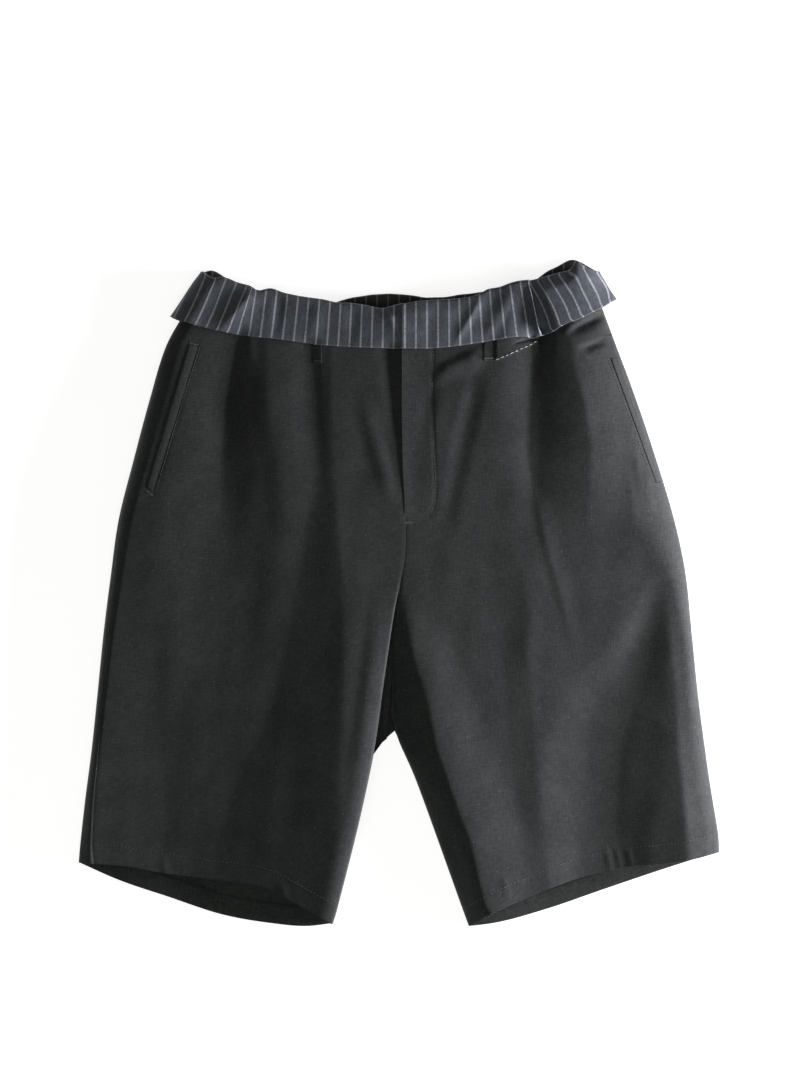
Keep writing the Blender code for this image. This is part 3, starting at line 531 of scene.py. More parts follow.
def gridUv(points):  # u along a row from its middle, v down the cloth
    step = np.linalg.norm(np.diff(points, axis=1), axis=-1)
    u = np.concatenate([np.zeros((len(points), 1)), np.cumsum(step, axis=1)], axis=1)
    u = u - u[:, u.shape[1] // 2, None] + points[:, u.shape[1] // 2, 0, None]
    down = np.linalg.norm(np.diff(points, axis=0), axis=-1).mean(axis=1)
    v = np.concatenate([[0], np.cumsum(down)])[:, None] + 0 * u
    return np.stack([u, -v], axis=-1)


def joined(name, parts, material):  # one object from several (vertices, faces, uvs)
    vertices, faces, uvs, start = [], [], [], 0
    for v, f, w in parts:
        vertices.append(v)
        faces += [[i + start for i in face] for face in f]
        uvs.append(w)
        start += len(v)
    return meshPiece(name, np.concatenate(vertices), faces, np.concatenate(uvs), material)


def clothPiece(name, grids, material):  # each grid: points, normals, wall and uvs
    return joined(name, [(v, f.tolist(), w) for v, f, w in (clothShell(*grid) for grid in grids)], material)


def settle(piece, nodes):
    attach(piece, "root")
    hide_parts(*nodes)
    print("made", piece.name, len(piece.data.polygons), "faces")


shaderSockets = {"roughness": "Roughness", "specular": "Specular IOR Level", "sheen": "Sheen Weight",
                 "sheenRoughness": "Sheen Roughness", "sheenTint": "Sheen Tint"}


def startMaterial(name, look):
    material = bpy.data.materials.new(name)
    material.use_nodes = True
    tree = material.node_tree
    shader = tree.nodes["Principled BSDF"]
    for key, socketName in shaderSockets.items():
        if key in look:
            value = look[key]
            shader.inputs[socketName].default_value = hexLinear(value) if isinstance(value, str) else value
    uv = addNode(tree, "ShaderNodeUVMap", {"uv_map": "cloth"}).outputs["UV"]
    axes = addNode(tree, "ShaderNodeSeparateXYZ", inputs={0: uv})
    return material, tree, shader, uv, axes.outputs["X"], axes.outputs["Y"]


def maths(tree, operation, *values):
    return addNode(tree, "ShaderNodeMath", {"operation": operation}, dict(enumerate(values))).outputs[0]


def remap(tree, value, low, high, toLow=0.0, toHigh=1.0, ease="SMOOTHSTEP"):
    limits = {"Value": value, "From Min": low, "From Max": high, "To Min": toLow, "To Max": toHigh}
    return addNode(tree, "ShaderNodeMapRange", {"interpolation_type": ease}, limits).outputs[0]


def spread(tree, uv, *size):  # size: how many mm of cloth one unit of the pattern takes, across and down
    scale = (1 / size[0], 1 / size[-1], 1)
    return addNode(tree, "ShaderNodeMapping", inputs={"Vector": uv, "Scale": scale}).outputs[0]


def noise(tree, place, detail, roughness=0.5):
    inputs = {"Vector": place, "Scale": 1.0, "Detail": detail, "Roughness": roughness}
    return addNode(tree, "ShaderNodeTexNoise", {"noise_dimensions": "2D"}, inputs).outputs[0]


def blend(tree, share, first, second):
    inputs = {"Factor": share, 6: first, 7: second}
    return addNode(tree, "ShaderNodeMix", {"data_type": "RGBA"}, inputs).outputs[2]


def finishCloth(tree, shader, colour, height, strength):
    tree.links.new(colour, shader.inputs["Base Color"])
    inputs = {"Strength": strength, "Distance": 0.0001, "Height": height}
    bump = addNode(tree, "ShaderNodeBump", inputs=inputs)
    tree.links.new(bump.outputs[0], shader.inputs["Normal"])


# Worsted suiting: fine dark wool yarn in a plain weave, cropped and pressed. It looks near-black and matt,
# with a soft light bloom where the nap catches side light, and single paler fibres here and there.
suiting = {
    "dark": "#191b19", "light": "#282a28", "fibre": "#6d726f", "fibreShown": 0.4,
    "threadSpacing": 1.1,  # real yarn lies 0.5 apart, drawn coarser so that it shows
    "slubLength": 9.0, "slubWidth": 1.3, "patch": 38.0, "patchShare": 0.7, "darkAt": 1.0, "lightAt": 1.75,
    "fibreSpacing": 21.0, "fibreSize": 0.026, "fibreCore": 0.4, "slubRelief": 0.8, "bump": 0.2,
    "roughness": 0.82, "specular": 0.22, "sheen": 0.32, "sheenRoughness": 0.42, "sheenTint": "#aeb6b2",
}


def wovenWool(name, look):
    material, tree, shader, uv, across, down = startMaterial(name, look)
    threads = []
    for axis in (across, down):
        turn = maths(tree, "MULTIPLY", axis, math.pi / look["threadSpacing"])
        threads.append(maths(tree, "ABSOLUTE", maths(tree, "SINE", turn)))
    weave = maths(tree, "MULTIPLY", *threads)
    slub = (look["slubWidth"], look["slubLength"])
    runs = [noise(tree, spread(tree, uv, *size), 2.0, 0.6) for size in (slub, slub[::-1])]
    slubs = maths(tree, "ADD", *runs)
    patch = noise(tree, spread(tree, uv, look["patch"]), 3.0, 0.55)
    mixed = maths(tree, "MULTIPLY_ADD", patch, look["patchShare"], slubs)
    tone = remap(tree, mixed, look["darkAt"], look["lightAt"])
    ground = blend(tree, tone, hexLinear(look["dark"]), hexLinear(look["light"]))
    cells = addNode(tree, "ShaderNodeTexVoronoi", {"voronoi_dimensions": "2D", "feature": "F1"},
                    {"Vector": spread(tree, uv, look["fibreSpacing"]), "Scale": 1.0, "Randomness": 1.0})
    core = look["fibreSize"] * look["fibreCore"]
    speck = remap(tree, cells.outputs["Distance"], look["fibreSize"], core, 0.0, look["fibreShown"])
    colour = blend(tree, speck, ground, hexLinear(look["fibre"]))
    height = maths(tree, "MULTIPLY_ADD", slubs, look["slubRelief"], weave)
    finishCloth(tree, shader, colour, height, look["bump"])
    return material


# Pinstriped worsted: the same wool, finer, with one pale yarn every 11 mm. It is smoother than the suiting,
# charcoal with a cool cast, and the stripes are thin and slightly broken where the pale yarn dips under.
pinstripe = {
    "ground": "#27292b", "groundCool": "#3f4449", "stripe": "#75767a", "spacing": 11.0, "halfWidth": 0.92,
    "edgeOut": 1.35, "edgeIn": 0.6, "dashAcross": 10 / 3, "dash": 1.6,
    "dashLow": 0.3, "dashHigh": 0.55, "brokenTo": 0.55,
    "twill": 1.4,  # twill lines are 0.6 apart in the cloth, drawn coarser
    "yarn": 1.2, "yarnLength": 6.0, "yarnShare": 1.4,  # single yarns are 0.4 wide, drawn coarser
    "patch": 24.0, "darkAt": 0.8, "coolAt": 1.6, "stripeRelief": 1.5, "bump": 0.3,
    "roughness": 0.62, "specular": 0.35, "sheen": 0.12, "sheenRoughness": 0.4,
}


def stripedWool(name, look):
    material, tree, shader, uv, across, down = startMaterial(name, look)
    repeat = maths(tree, "PINGPONG", across, look["spacing"] / 2)
    line = remap(tree, repeat, look["halfWidth"] * look["edgeOut"], look["halfWidth"] * look["edgeIn"])
    dash = noise(tree, spread(tree, uv, look["dashAcross"], look["dash"]), 1.0)
    broken = remap(tree, dash, look["dashLow"], look["dashHigh"], look["brokenTo"], 1.0, "LINEAR")
    shown = maths(tree, "MULTIPLY", line, broken)
    patch = noise(tree, spread(tree, uv, look["patch"]), 3.0)
    yarn = noise(tree, spread(tree, uv, look["yarn"], look["yarnLength"]), 2.0, 0.6)
    mixed = maths(tree, "MULTIPLY_ADD", yarn, look["yarnShare"], patch)
    tone = remap(tree, mixed, look["darkAt"], look["coolAt"], ease="LINEAR")
    ground = blend(tree, tone, hexLinear(look["ground"]), hexLinear(look["groundCool"]))
    colour = blend(tree, shown, ground, hexLinear(look["stripe"]))
    turn = maths(tree, "MULTIPLY", maths(tree, "ADD", across, down), 2 * math.pi / look["twill"])
    raised = maths(tree, "MULTIPLY_ADD", shown, look["stripeRelief"], maths(tree, "SINE", turn))
    finishCloth(tree, shader, colour, raised, look["bump"])
    return material


# Spun polyester sewing thread: two fine plies twisted. Its colour is darkened in bands along the twist,
# painted shade in the grooves between the plies.
thread = {"twist": 0.9, "hollow": 0.6, "roughness": 0.5}


def spunThread(name, code, look):
    material, tree, shader, uv, across, down = startMaterial(name, look)
    turn = maths(tree, "MULTIPLY", maths(tree, "ADD", across, down), 2 * math.pi / look["twist"])
    share = remap(tree, maths(tree, "SINE", turn), -1.0, 1.0, ease="LINEAR")
    base = hexLinear(code)
    # painted shade: the thread colour darkened where the grooves between the plies lie
    hollow = tuple(v * look["hollow"] for v in base[:3]) + (1.0,)
    tree.links.new(blend(tree, share, hollow, base), shader.inputs["Base Color"])
    return material


wool = wovenWool("worstedSuiting", suiting)
# painted light: the back panels get a paler copy of the same suiting, which lifts the inside of the back
# where it lies in shade in the hem openings
backPaintedLightLook = {**suiting, "dark": "#1d1f1d", "light": "#2e302e"}  # a little paler
backWoolPaintedLight = wovenWool("worstedSuitingBack", backPaintedLightLook)
bandCloth = stripedWool("pinstripeWorsted", pinstripe)
# painted shade: the back band gets a darker copy of the same pinstripe, which stands in for the shade on its
# inside where it shows above the front band
bandBackPaintedShadeLook = {**pinstripe, "ground": "#1b1c18", "groundCool": "#252622", "stripe": "#5c5d58"}
bandBackPaintedShadeCloth = stripedWool("pinstripeWorstedBack", bandBackPaintedShadeLook)
darkThread = spunThread("spunThreadDark", "#353837", thread)
paleThread = spunThread("spunThreadPale", "#c9c9c4", thread)
print("materials made")


# Leg panels. Rows and columns first: the outer zone is finest where the side falls away.
panel = {
    "rows": 188, "inner": {"right": 20, "left": 40}, "middle": 68, "outer": {"right": 16, "left": 24},
    "backRows": 96, "seam": 8, "wrap": 12, "floor": 46, "curl": 10, "seamSink": 0.2, "seamWidth": 2.0,
    "sideGap": 0.12, "inseamFront": 0.03, "inseamBack": 0.05, "underWaist": 0.004, "hemStep": 0.012,
    "hemClear": 0.02, "pastFold": 0.001, "leastZone": 0.02,
}


def spans(*parts):  # columns through several zones, each (start, end, count)
    pieces = [start + (end - start) * np.linspace(0, 1, count + 1)[:-1] for start, end, count in parts]
    return np.concatenate([*pieces, [parts[-1][1]]])


def frontColumns(first, last, counts):  # from the centre front to the side, closest where the cloth turns
    inner, outer = body["innerRound"], body["outerRound"]
    return spans((first, inner, counts[0]), (inner, outer, counts[1]), (outer, last, counts[2]))


def backColumns(first, last, counts):  # from the side to the centre back
    floor, inner = body["backFloor"], body["backInner"]
    return spans((first, floor, counts[0]), (floor, inner, counts[1]), (inner, last, counts[2]))


def sideSeam(leg, s, way):
    return beside(leg, s, seamColumn(leg, s), way, panel["sideGap"])


def panelRows(count):
    turnUp, step = body["turnUp"], panel["hemStep"]
    rows = np.linspace(body["waistSeam"] + panel["underWaist"], body["hem"], count)
    rows = rows[np.abs(rows - turnUp) > panel["hemClear"]]
    return np.sort(np.concatenate([rows, [turnUp - step, turnUp + step]]))


def panelWalls(rows):
    return np.where(rows > body["turnUp"], cloth["hemWall"], cloth["wall"])


def sinkSeams(points, normals):  # presses the cloth down beside the seams at both ends of a row
    for way in (1, -1):
        steps = np.linalg.norm(np.diff(points[:, ::way], axis=1), axis=-1)
        along = np.concatenate([np.zeros((len(points), 1)), np.cumsum(steps, axis=1)], axis=1)
        depth = panel["seamSink"] * np.exp(-((along / panel["seamWidth"]) ** 2))
        points = points - normals * depth[:, ::way, None]
    return points


def frontGrid(leg):
    rows = panelRows(panel["rows"])
    counts = (panel["inner"][leg["name"]], panel["middle"], panel["outer"][leg["name"]])
    firsts = np.where(rows < body["fork"], 0, panel["inseamFront"])
    columns = np.array([frontColumns(first, sideSeam(leg, s, -1), counts) for first, s in zip(firsts, rows)])
    points = tube(leg, rows[:, None], columns)
    points = sinkSeams(points, gridNormals(points))
    return points, gridNormals(points), panelWalls(rows), gridUv(points)


def backGrid(leg):
    rows = np.sort(np.concatenate([panelRows(panel["backRows"]), [body["fork"] - body["forkClosing"]]]))
    fold, least = body["sideFold"] + panel["pastFold"], panel["leastZone"]
    columns = []
    for s in rows:
        start = sideSeam(leg, s, 1)
        last = body["backCentre"] - (0 if s < body["fork"] else panel["inseamBack"])
        seam = spans((start, fold if start < body["sideFold"] else start + least, panel["seam"]))[:-1]
        rest = backColumns(max(start + least, fold), last, (panel["wrap"], panel["floor"], panel["curl"]))
        columns.append(np.concatenate([seam, rest]))
    columns = np.array(columns)
    points = tube(leg, rows[:, None], columns)
    return points, outward(leg, rows[:, None], columns), panelWalls(rows), gridUv(points)


def forkGrid(leg):  # what comes forward between the legs, folds over at the saddle and runs under
    rows = []
    share = np.linspace(0, 1, fork["columns"])
    for down in np.linspace(0, 1, fork["rows"]):
        y = fork["topY"] + (fork["saddleY"] - fork["topY"]) * down
        edge = outlineX(leg, "inner", y)
        x = np.linspace(edge + leg["side"] * fork["tuck"], backSeamX(y), fork["columns"])
        ys = y + fork["slope"] * (x - fork["saddleX"]) * down
        middle = math.sin(math.pi * down)
        underEdge = topHeight(leg, outlineX(leg, "inner", ys), ys) - cloth["cadWall"] - cloth["layGap"]
        crumple = fork["crumple"] * np.sin(ys / fork["crumpleDown"] + x / fork["crumpleAcross"]) * middle
        rows.append(np.stack([x, ys, underEdge - fork["sag"] * middle * share - np.abs(crumple)], axis=-1))
    last = rows[-1]
    radius = last[:, 2] / 2
    for turn in np.radians(np.arange(10, 181, 10)):
        row = last.copy()
        row[:, 1] -= radius * math.sin(turn)
        row[:, 2] = radius * (1 + math.cos(turn)) + fork["aboveFloor"]
        rows.append(row)
    turned = rows[-1]
    run = np.array((backSeamX(fork["saddleY"] + fork["under"]) - fork["saddleX"], fork["under"], 0))
    rows += [turned + run * 0.5, turned + run]
    points = np.array(rows)
    return points, gridNormals(points, fork["rows"]), cloth["wall"], gridUv(points)


for leg in (rightLeg, leftLeg):
    name = leg["name"]
    front = clothPiece("front" + name.title(), [frontGrid(leg)], wool)
    settle(front, ["front_" + name])
    back = clothPiece("back" + name.title(), [backGrid(leg), forkGrid(leg)], backWoolPaintedLight)
    settle(back, ["back_" + name])


# Waistband, and the striped band that is turned down over it
waist = {
    "below": 1.13, "turnDepth": 0.7, "clear": 0.4, "seamGap": 0.8, "flare": {"right": 6.0, "left": 11.0},
    "flareWidth": 20.0, "insideStart": 0.02, "outRows": 26, "rollRows": 9, "inRows": 9,
    "frontCounts": (10, 30, 14), "backCounts": (8, 40, 5), "rows": 14, "nearFold": 0.05, "insideShare": 0.3,
    "creaseStart": (-0.1, 0.25), "waveEnd": (0.75, 0),
    "bandFront": (28, 84, 20), "bandBack": (8, 90, 6), "toPleat": 58, "fromPleat": 32,
}
pleat = {
    "topX": 129.6, "lowX": 138.8, "gap": 1.0, "tuck": 12.0, "raise": cloth["cadBand"] + cloth["layGap"],
    "ramp": 45.0, "edge": 2.0, "curl": 2.2, "curlWidth": 4.0,
    "curlStart": (0.45, 1.1), "tuckStart": (-0.35, 0.4),
}

frontStripes = tableOf(stripe, (-21, -215, -233.5), (-19, -193.8, -211.6), (-15, -152.3, -169.4),
    (-14, -147.2, -160), (-13, -143.3, -149), (0, -5.2, -5.3), (5, 49.9, 50.0), (9, 90.5, 94.2),
    (12, 121.2, 128.6), (13, 129.8, 141.0), (15, 151, 163))
sideStripes = tableOf(stripe, (11, 121.5, 141), (12, 130.6, 151.1), (13, 138.5, 159.9),
    (14, 149.2, 170.9), (15, 160, 181), (16, 169.8, 191.4), (17, 184.2, 201), (18, 198.6, 209.9),
    (19, 205.5, 218), (21, 226, 236))

backStripes = tableOf(stripe, (-22, -242, -242), (22, 242, 242))
stripeColumns = ("topX", "lowX", "number")

bandFolds = foldTable(
    # broad waves of the whole band
    ("soft", (14, 305, 95, 85, 2.2), (14, 245, 95, 85, 2.2)),
    ("soft", (-226, 300, 30, 62, 2.0), (-236, 270, 30, 62, 2.0)),
    # diagonal crease left of the front, where the stripes kink
    ("pressed", (-143, 308, 18, 17, 2.8), (-150, 298, 20, 19, 3.6), (-161, 284, 24, 21, 3.8),
     (-176, 268, 22, 18, 2.2)),
    ("soft", (-186, 312, 12, 12, 0.8), (-196, 290, 12, 14, 1.0), (-204, 274, 10, 12, 0.5)),
    ("soft", (-118, 305, 10, 9, -0.7), (-120, 282, 10, 9, -1.1), (-124, 262, 8, 8, -0.4)),
    ("soft", (-78, 300, 12, 12, 0.5), (-82, 278, 12, 12, 0.9), (-88, 256, 10, 10, 0.3)),
    ("soft", (-42, 296, 12, 10, -0.3), (-46, 272, 12, 10, -0.8), (-50, 252, 10, 9, -0.3)),
    # laps at the centre front
    ("pressed", (-24, 300, 8, 6, 0.6), (-14, 288, 9, 6, 1.4), (-8, 276, 9, 6, 1.0), (-5, 262, 7, 6, 0)),
    ("soft", (40, 298, 12, 14, -0.4), (34, 276, 12, 14, -0.7), (28, 252, 10, 12, -0.3)),
    ("pressed", (84, 306, 9, 8, 0.4), (74, 282, 11, 9, 1.8), (62, 262, 10, 8, 1.4),
     (56, 250, 8, 8, 0.2)),
    ("soft", (112, 308, 12, 11, 0.2), (104, 288, 13, 11, 1.6), (92, 266, 12, 10, 1.0)),
    ("soft", (126, 300, 9, 9, -0.2), (122, 282, 10, 10, -0.8), (116, 262, 9, 9, -0.4)),
    ("pressed", (131, 322, 5, 7, 1.2), (134, 304, 7, 10, 4.6), (139.5, 280, 8, 12, 6.6),
     (144, 258, 8, 13, 6.6)),
)
sideFolds = foldTable(
    # it climbs out from under the front part, and then falls to the side
    ("soft", (140, 322, 8, 60, 2.6), (146, 304, 13, 80, 4.4), (155, 280, 16, 80, 5.4),
     (163, 258, 20, 80, 5.4)),
    ("soft", (190, 322, 8, 10, -0.3), (194, 306, 8, 10, -0.7), (198, 294, 8, 8, -0.2)),
)
frontTopWave = tableOf(notch, (-192, 0.6, 7), (-177, 3.6, 12), (-141, -3.6, 6.5), (-127, 1.6, 8),
    (-62, -1.6, 10), (-34, 0.8, 9), (-16, -1.4, 9), (20, 0.7, 9), (88, 1.8, 6), (102, -0.9, 6),
    (120, 0.6, 7), (177, 8.2, 4.6), (184.5, 3.4, 7))  # the corner that stands up at the side
backTopWave = tableOf(notch, (-182, 0.8, 8), (-60, 0.8, 10), (-38, -0.8, 8), (-9, 0.8, 9),
    (26, -0.9, 7), (60, 0.9, 9), (150, 1.0, 8), (172, 1.4, 9))


def stripeNumber(table, x, share):  # the stripes lean between the band's top, 0, and its lower edge, 1
    tops, lows, numbers = (np.array([getattr(row, name) for row in table], float) for name in stripeColumns)
    return np.array([np.interp(line, tops + (lows - tops) * part, numbers) for line, part in zip(x, share)])


def topWave(table, x):
    return sum(row.height * np.exp(-(((x - row.x) / row.width) ** 2)) for row in table)


def pleatLine(s):  # x of the pleat's edge
    return pleat["topX"] + (pleat["lowX"] - pleat["topX"]) * s


def bandGrid(legs, table, wave, raised=None, relief=(), curlEnd=False, bowStripes=0.0):
    grids = []
    outRows = np.linspace(waist["below"], 0, waist["outRows"])
    inRows = np.linspace(waist["insideStart"], waist["turnDepth"], waist["inRows"])
    for leg, columns, inside in legs:
        # the outer leg of the band, from its lower edge up to the fold
        c = np.array([columns(leg, s) for s in outRows])
        s = outRows[:, None]
        base = tube(leg, s, c)
        normal = outward(leg, s, c)
        x, y = base[..., 0], base[..., 1]
        out = outTo["band"] + (raised(x) if raised else 0 * x)
        if curlEnd and leg is rightLeg:  # bridges the step at the fly
            out = out + fly["raise"] * np.exp(-np.abs(x - fly["edgeX"]) / fly["width"])
        crease = sum((oneFold(kind, path, x, y) for kind, path in relief), 0 * x)
        out = out + crease * smoothStep(*waist["creaseStart"], s)
        if curlEnd:
            nearEnd = np.exp(-(((x - pleatLine(s)) / pleat["curlWidth"]) ** 2))
            out = out + pleat["curl"] * nearEnd * smoothStep(*pleat["curlStart"], s)
        fromFold = np.abs(x - stationAt(leg, "outerX", s))
        flare = waist["flare"][leg["name"]] * s * np.exp(-((fromFold / waist["flareWidth"]) ** 2))
        up = unit(base[-1] - tube(leg, waist["nearFold"], c[-1]))
        lifted = topWave(wave, x) * smoothStep(*waist["waveEnd"], s)
        sideways = flare[..., None] * np.array((leg["side"], 0, 0))
        lines = list(base + normal * out[..., None] + sideways + up * lifted[..., None])
        # the roll at the top
        base, normal, out, lifted = base[-1], normal[-1], out[-1][:, None], lifted[-1][:, None]
        middle = (out + outTo["bandInside"]) / 2
        radius = (out - outTo["bandInside"]) / 2
        for turn in np.linspace(0, math.pi, waist["rollRows"] + 2)[1:-1]:
            away = up * math.sin(turn) + normal * math.cos(turn)
            lines.append(base + up * (waist["clear"] + lifted) + normal * middle + away * radius)
        # the inner leg
        c = np.array([inside(leg, s) for s in inRows])
        s = inRows[:, None]
        lines += list(tube(leg, s, c) + outward(leg, s, c) * outTo["bandInside"])
        grids.append(np.array(lines))
    points = np.concatenate(grids, axis=1)
    share = np.concatenate([outRows, np.zeros(waist["rollRows"]), -waist["insideShare"] * inRows])
    down = np.linalg.norm(np.diff(points, axis=0), axis=-1).mean(axis=1)
    v = np.concatenate([[0], np.cumsum(down)])
    share = np.maximum(share, 0)
    bow = 4 * np.minimum(share, 1) * (1 - np.minimum(share, 1))
    number = stripeNumber(table, points[..., 0] - bowStripes * bow[:, None], share)
    uvs = np.stack([number * pinstripe["spacing"], np.broadcast_to(v[:, None], number.shape)], axis=-1)
    return points, uvs


def pleatColumn(leg, s, beyond):
    outer = stationAt(leg, "outerX", s)
    width = abs(stationAt(leg, "innerX", s) - outer) - body["innerReach"]
    zone = body["outerRound"] - body["innerRound"]
    perMm = zone / (width - outerReach(leg, stationAt(leg, "outerY", s)))
    return body["innerRound"] + (width - abs(outer - (pleatLine(s) + beyond))) * perMm


def atSide(leg, s, way):
    return beside(leg, s, body["sideFold"], way, waist["seamGap"])


def frontToPleat(leg, s):
    inner = body["innerRound"]
    return spans((0, inner, waist["bandFront"][0]), (inner, pleatColumn(leg, s, 0), waist["toPleat"]))[1:]


def fromPleat(leg, s, first):
    outer = body["outerRound"]
    return spans((first, outer, waist["fromPleat"]), (outer, atSide(leg, s, -1), waist["bandFront"][2]))


def pleatToSide(leg, s):
    return fromPleat(leg, s, pleatColumn(leg, s, pleat["gap"]))


def underPleatToSide(leg, s):
    tuck = pleat["tuck"] * smoothStep(*pleat["tuckStart"], s)
    return fromPleat(leg, s, pleatColumn(leg, s, pleat["gap"] - tuck))


def sideToCentre(leg, s):
    return frontColumns(0, atSide(leg, s, -1), waist["bandFront"])[::-1]


def behind(leg, s):
    columns = backColumns(atSide(leg, s, 1), body["backCentre"], waist["bandBack"])
    return columns if leg is rightLeg else columns[-2::-1]


def lapHeight(x):
    under = pleat["topX"] - pleat["tuck"] - pleat["edge"]
    return pleat["raise"] * smoothStep(pleat["lowX"] - pleat["ramp"], under, x)


def waistbandGrid(leg, face):
    rows = np.linspace(0, body["waistSeam"] - panel["underWaist"], waist["rows"])
    if face == "front":
        columns = [frontColumns(0, sideSeam(leg, s, -1), waist["frontCounts"]) for s in rows]
    else:
        firsts = [max(sideSeam(leg, s, 1), body["sideFold"] + panel["pastFold"]) for s in rows]
        columns = [backColumns(first, body["backCentre"], waist["backCounts"]) for first in firsts]
    columns = np.array(columns)
    points = tube(leg, rows[:, None], columns)
    return points, outward(leg, rows[:, None], columns), cloth["wall"], gridUv(points)


bandPlans = (
    # name, node, cut, lies on, cloth, stripes, top edge, legs with their columns, upper side, the rest
    ("bandFront", "band_front", (0.345, 0.075), "front_right", bandCloth, frontStripes, frontTopWave,
     ((rightLeg, sideToCentre, sideToCentre), (leftLeg, frontToPleat, frontToPleat)), 1,
     dict(raised=lapHeight, curlEnd=True, relief=bandFolds)),
    ("bandSide", "band_side", (0.085, 0.075), "front_right", bandCloth, sideStripes, frontTopWave,
     ((leftLeg, underPleatToSide, pleatToSide),), 1, dict(bowStripes=1.6, relief=sideFolds)),
    ("bandBack", "band_back", (0.43, 0.075), "floor", bandBackPaintedShadeCloth, backStripes, backTopWave,
     ((rightLeg, behind, behind), (leftLeg, behind, behind)), -1, {}),
)
for name, node, cut, under, material, table, wave, legs, up, extras in bandPlans:
    points, uvs = bandGrid(legs, table, wave, **extras)
    normals = gridNormals(points, waist["outRows"], up)
    piece = clothPiece(name, [(points, normals, cloth["bandWall"], uvs)], material)
    settle(piece, [node])

for leg in (rightLeg, leftLeg):
    name = leg["name"]
    for face, under in (("front", "band_front"), ("back", "band_back")):
        piece = clothPiece("waistband" + face.title() + name.title(), [waistbandGrid(leg, face)], wool)
        settle(piece, [f"waistband_{face}_{name}"])


# Trims that lie on the panels
lane = namedtuple("lane", "x0 y0 x1 y1")  # a line across a strip
trim = {
    "above": 0.12, "weltWall": 0.38, "weltCrown": 0.12, "weltTilt": 0.36, "weltCounts": (90, 9),
    "loopWall": 0.35, "loopCrown": 0.05, "loopCounts": (34, 9), "loopWidth": 10.0,
    "backLoopY": (233, 281), "backLoopCounts": (18, 6), "backLoopWall": 1.1,
    "facingWall": 0.8, "facingCounts": (20, 34),
    "shieldGap": 0.8, "shieldWall": 1.0, "shieldCounts": (60, 14),
}
welts = (  # name, node, leg, top and low end, cut and its area
    ("pocketWeltRight", "pocket_welt_right", rightLeg, lane(-209.4, 250, -200.6, 248),
     lane(-251, 108, -245, 103), (0.010, 0.150), 0.00118),
    ("pocketWeltLeft", "pocket_welt_left", leftLeg, lane(212, 236, 219, 238),
     lane(257, 113, 262, 114), (0.010, 0.132), 0.00086),
)
frontLoops = (  # name, node, leg, low and top end
    ("beltLoopFrontRight", "belt_loop_front_right", rightLeg,
     lane(-85, 231.5, -77, 231.5), lane(-86, 280, -78, 280)),
    ("beltLoopFrontLeft", "belt_loop_front_left", leftLeg,
     lane(84.5, 234, 94.5, 234), lane(85.5, 284, 95.5, 284)),
)
backLoops = (("Right", -118.0), ("Centre", 2.0), ("Left", 112.0))  # x of the middle
facing = (lane(97, 256, 140, 262), lane(97, 233.5, 140, 252.5))
shield = (lane(-2, 246, 38, 246), lane(-2, 70, 38, 70))


def onFront(leg, x, y, out):  # points at this height over the front, and its normals
    step = 0.5
    slopeX = (topHeight(leg, x + step, y) - topHeight(leg, x - step, y)) / (2 * step)
    slopeY = (topHeight(leg, x, y + step) - topHeight(leg, x, y - step)) / (2 * step)
    normals = unit(np.stack([-slopeX, -slopeY, np.ones_like(x)], axis=-1))
    return np.stack([x, y, topHeight(leg, x, y)], axis=-1) + normals * np.asarray(out)[..., None], normals


def stripGrid(leg, first, last, counts, out, thick, crown=0.0, tilt=0.0):
    down = np.linspace(0, 1, counts[0])[:, None]
    across = np.linspace(0, 1, counts[1])
    x0, y0, x1, y1 = (a + (b - a) * down for a, b in zip(first, last))
    x = x0 + (x1 - x0) * across
    y = y0 + (y1 - y0) * across
    height = out + thick + crown * np.sin(math.pi * across) - tilt * across + 0 * x
    points, _ = onFront(leg, x, y, height)
    return points, gridNormals(points), thick, gridUv(points)


for name, node, leg, first, last, cut, area in welts:
    grid = stripGrid(leg, first, last, trim["weltCounts"], trim["above"], trim["weltWall"],
                     trim["weltCrown"], trim["weltTilt"])
    piece = clothPiece(name, [grid], wool)
    settle(piece, [node])
for name, node, leg, first, last in frontLoops:
    grid = stripGrid(leg, first, last, trim["loopCounts"], trim["above"], trim["loopWall"],
                     trim["loopCrown"])
    piece = clothPiece(name, [grid], wool)
    settle(piece, [node])
for name, x in backLoops:
    half, (rows, columns) = trim["loopWidth"] / 2, trim["backLoopCounts"]
    xs, ys = np.meshgrid(np.linspace(x - half, x + half, columns), np.linspace(*trim["backLoopY"], rows))
    points = np.stack([xs, ys, 0 * xs + outTo["band"] - cloth["layGap"] - cloth["cadWall"]], axis=-1)
    down = np.broadcast_to(np.array((0.0, 0.0, -1.0)), points.shape)
    piece = clothPiece("beltLoopBack" + name, [(points, down, trim["backLoopWall"], gridUv(points))], wool)
    settle(piece, ["belt_loop_back_" + name.lower()])
grid = stripGrid(leftLeg, *facing, trim["facingCounts"], cloth["layGap"], trim["facingWall"])
piece = clothPiece("bandFacing", [grid], wool)
settle(piece, ["band_facing"])
below = -2 * cloth["cadWall"] - trim["shieldGap"]  # the shield lies under the front
grid = stripGrid(rightLeg, *shield, trim["shieldCounts"], below, trim["shieldWall"])
piece = clothPiece("flyShield", [grid], wool)
settle(piece, ["fly_shield"])


# Stitching
sewing = {
    "sides": 6, "spacing": 3.2, "length": 2.5, "radius": 0.24, "above": 0.12, "sink": 0.9,
    "profile": ((0.0, 0.35), (0.12, 0.85), (0.35, 1.0), (0.65, 1.0), (0.88, 0.85), (1.0, 0.35)),
    "hemStation": 11.02, "hemSpacing": 3.8, "hemAbove": 0.1, "tackSpacing": 0.75, "tackAbove": 0.2,
    "loopTackAbove": 1.9, "roundUv": 0.9,
    "handSpacing": 5.2, "handLength": 3.4, "handAbove": 1.45,  # the pale hand stitches
}


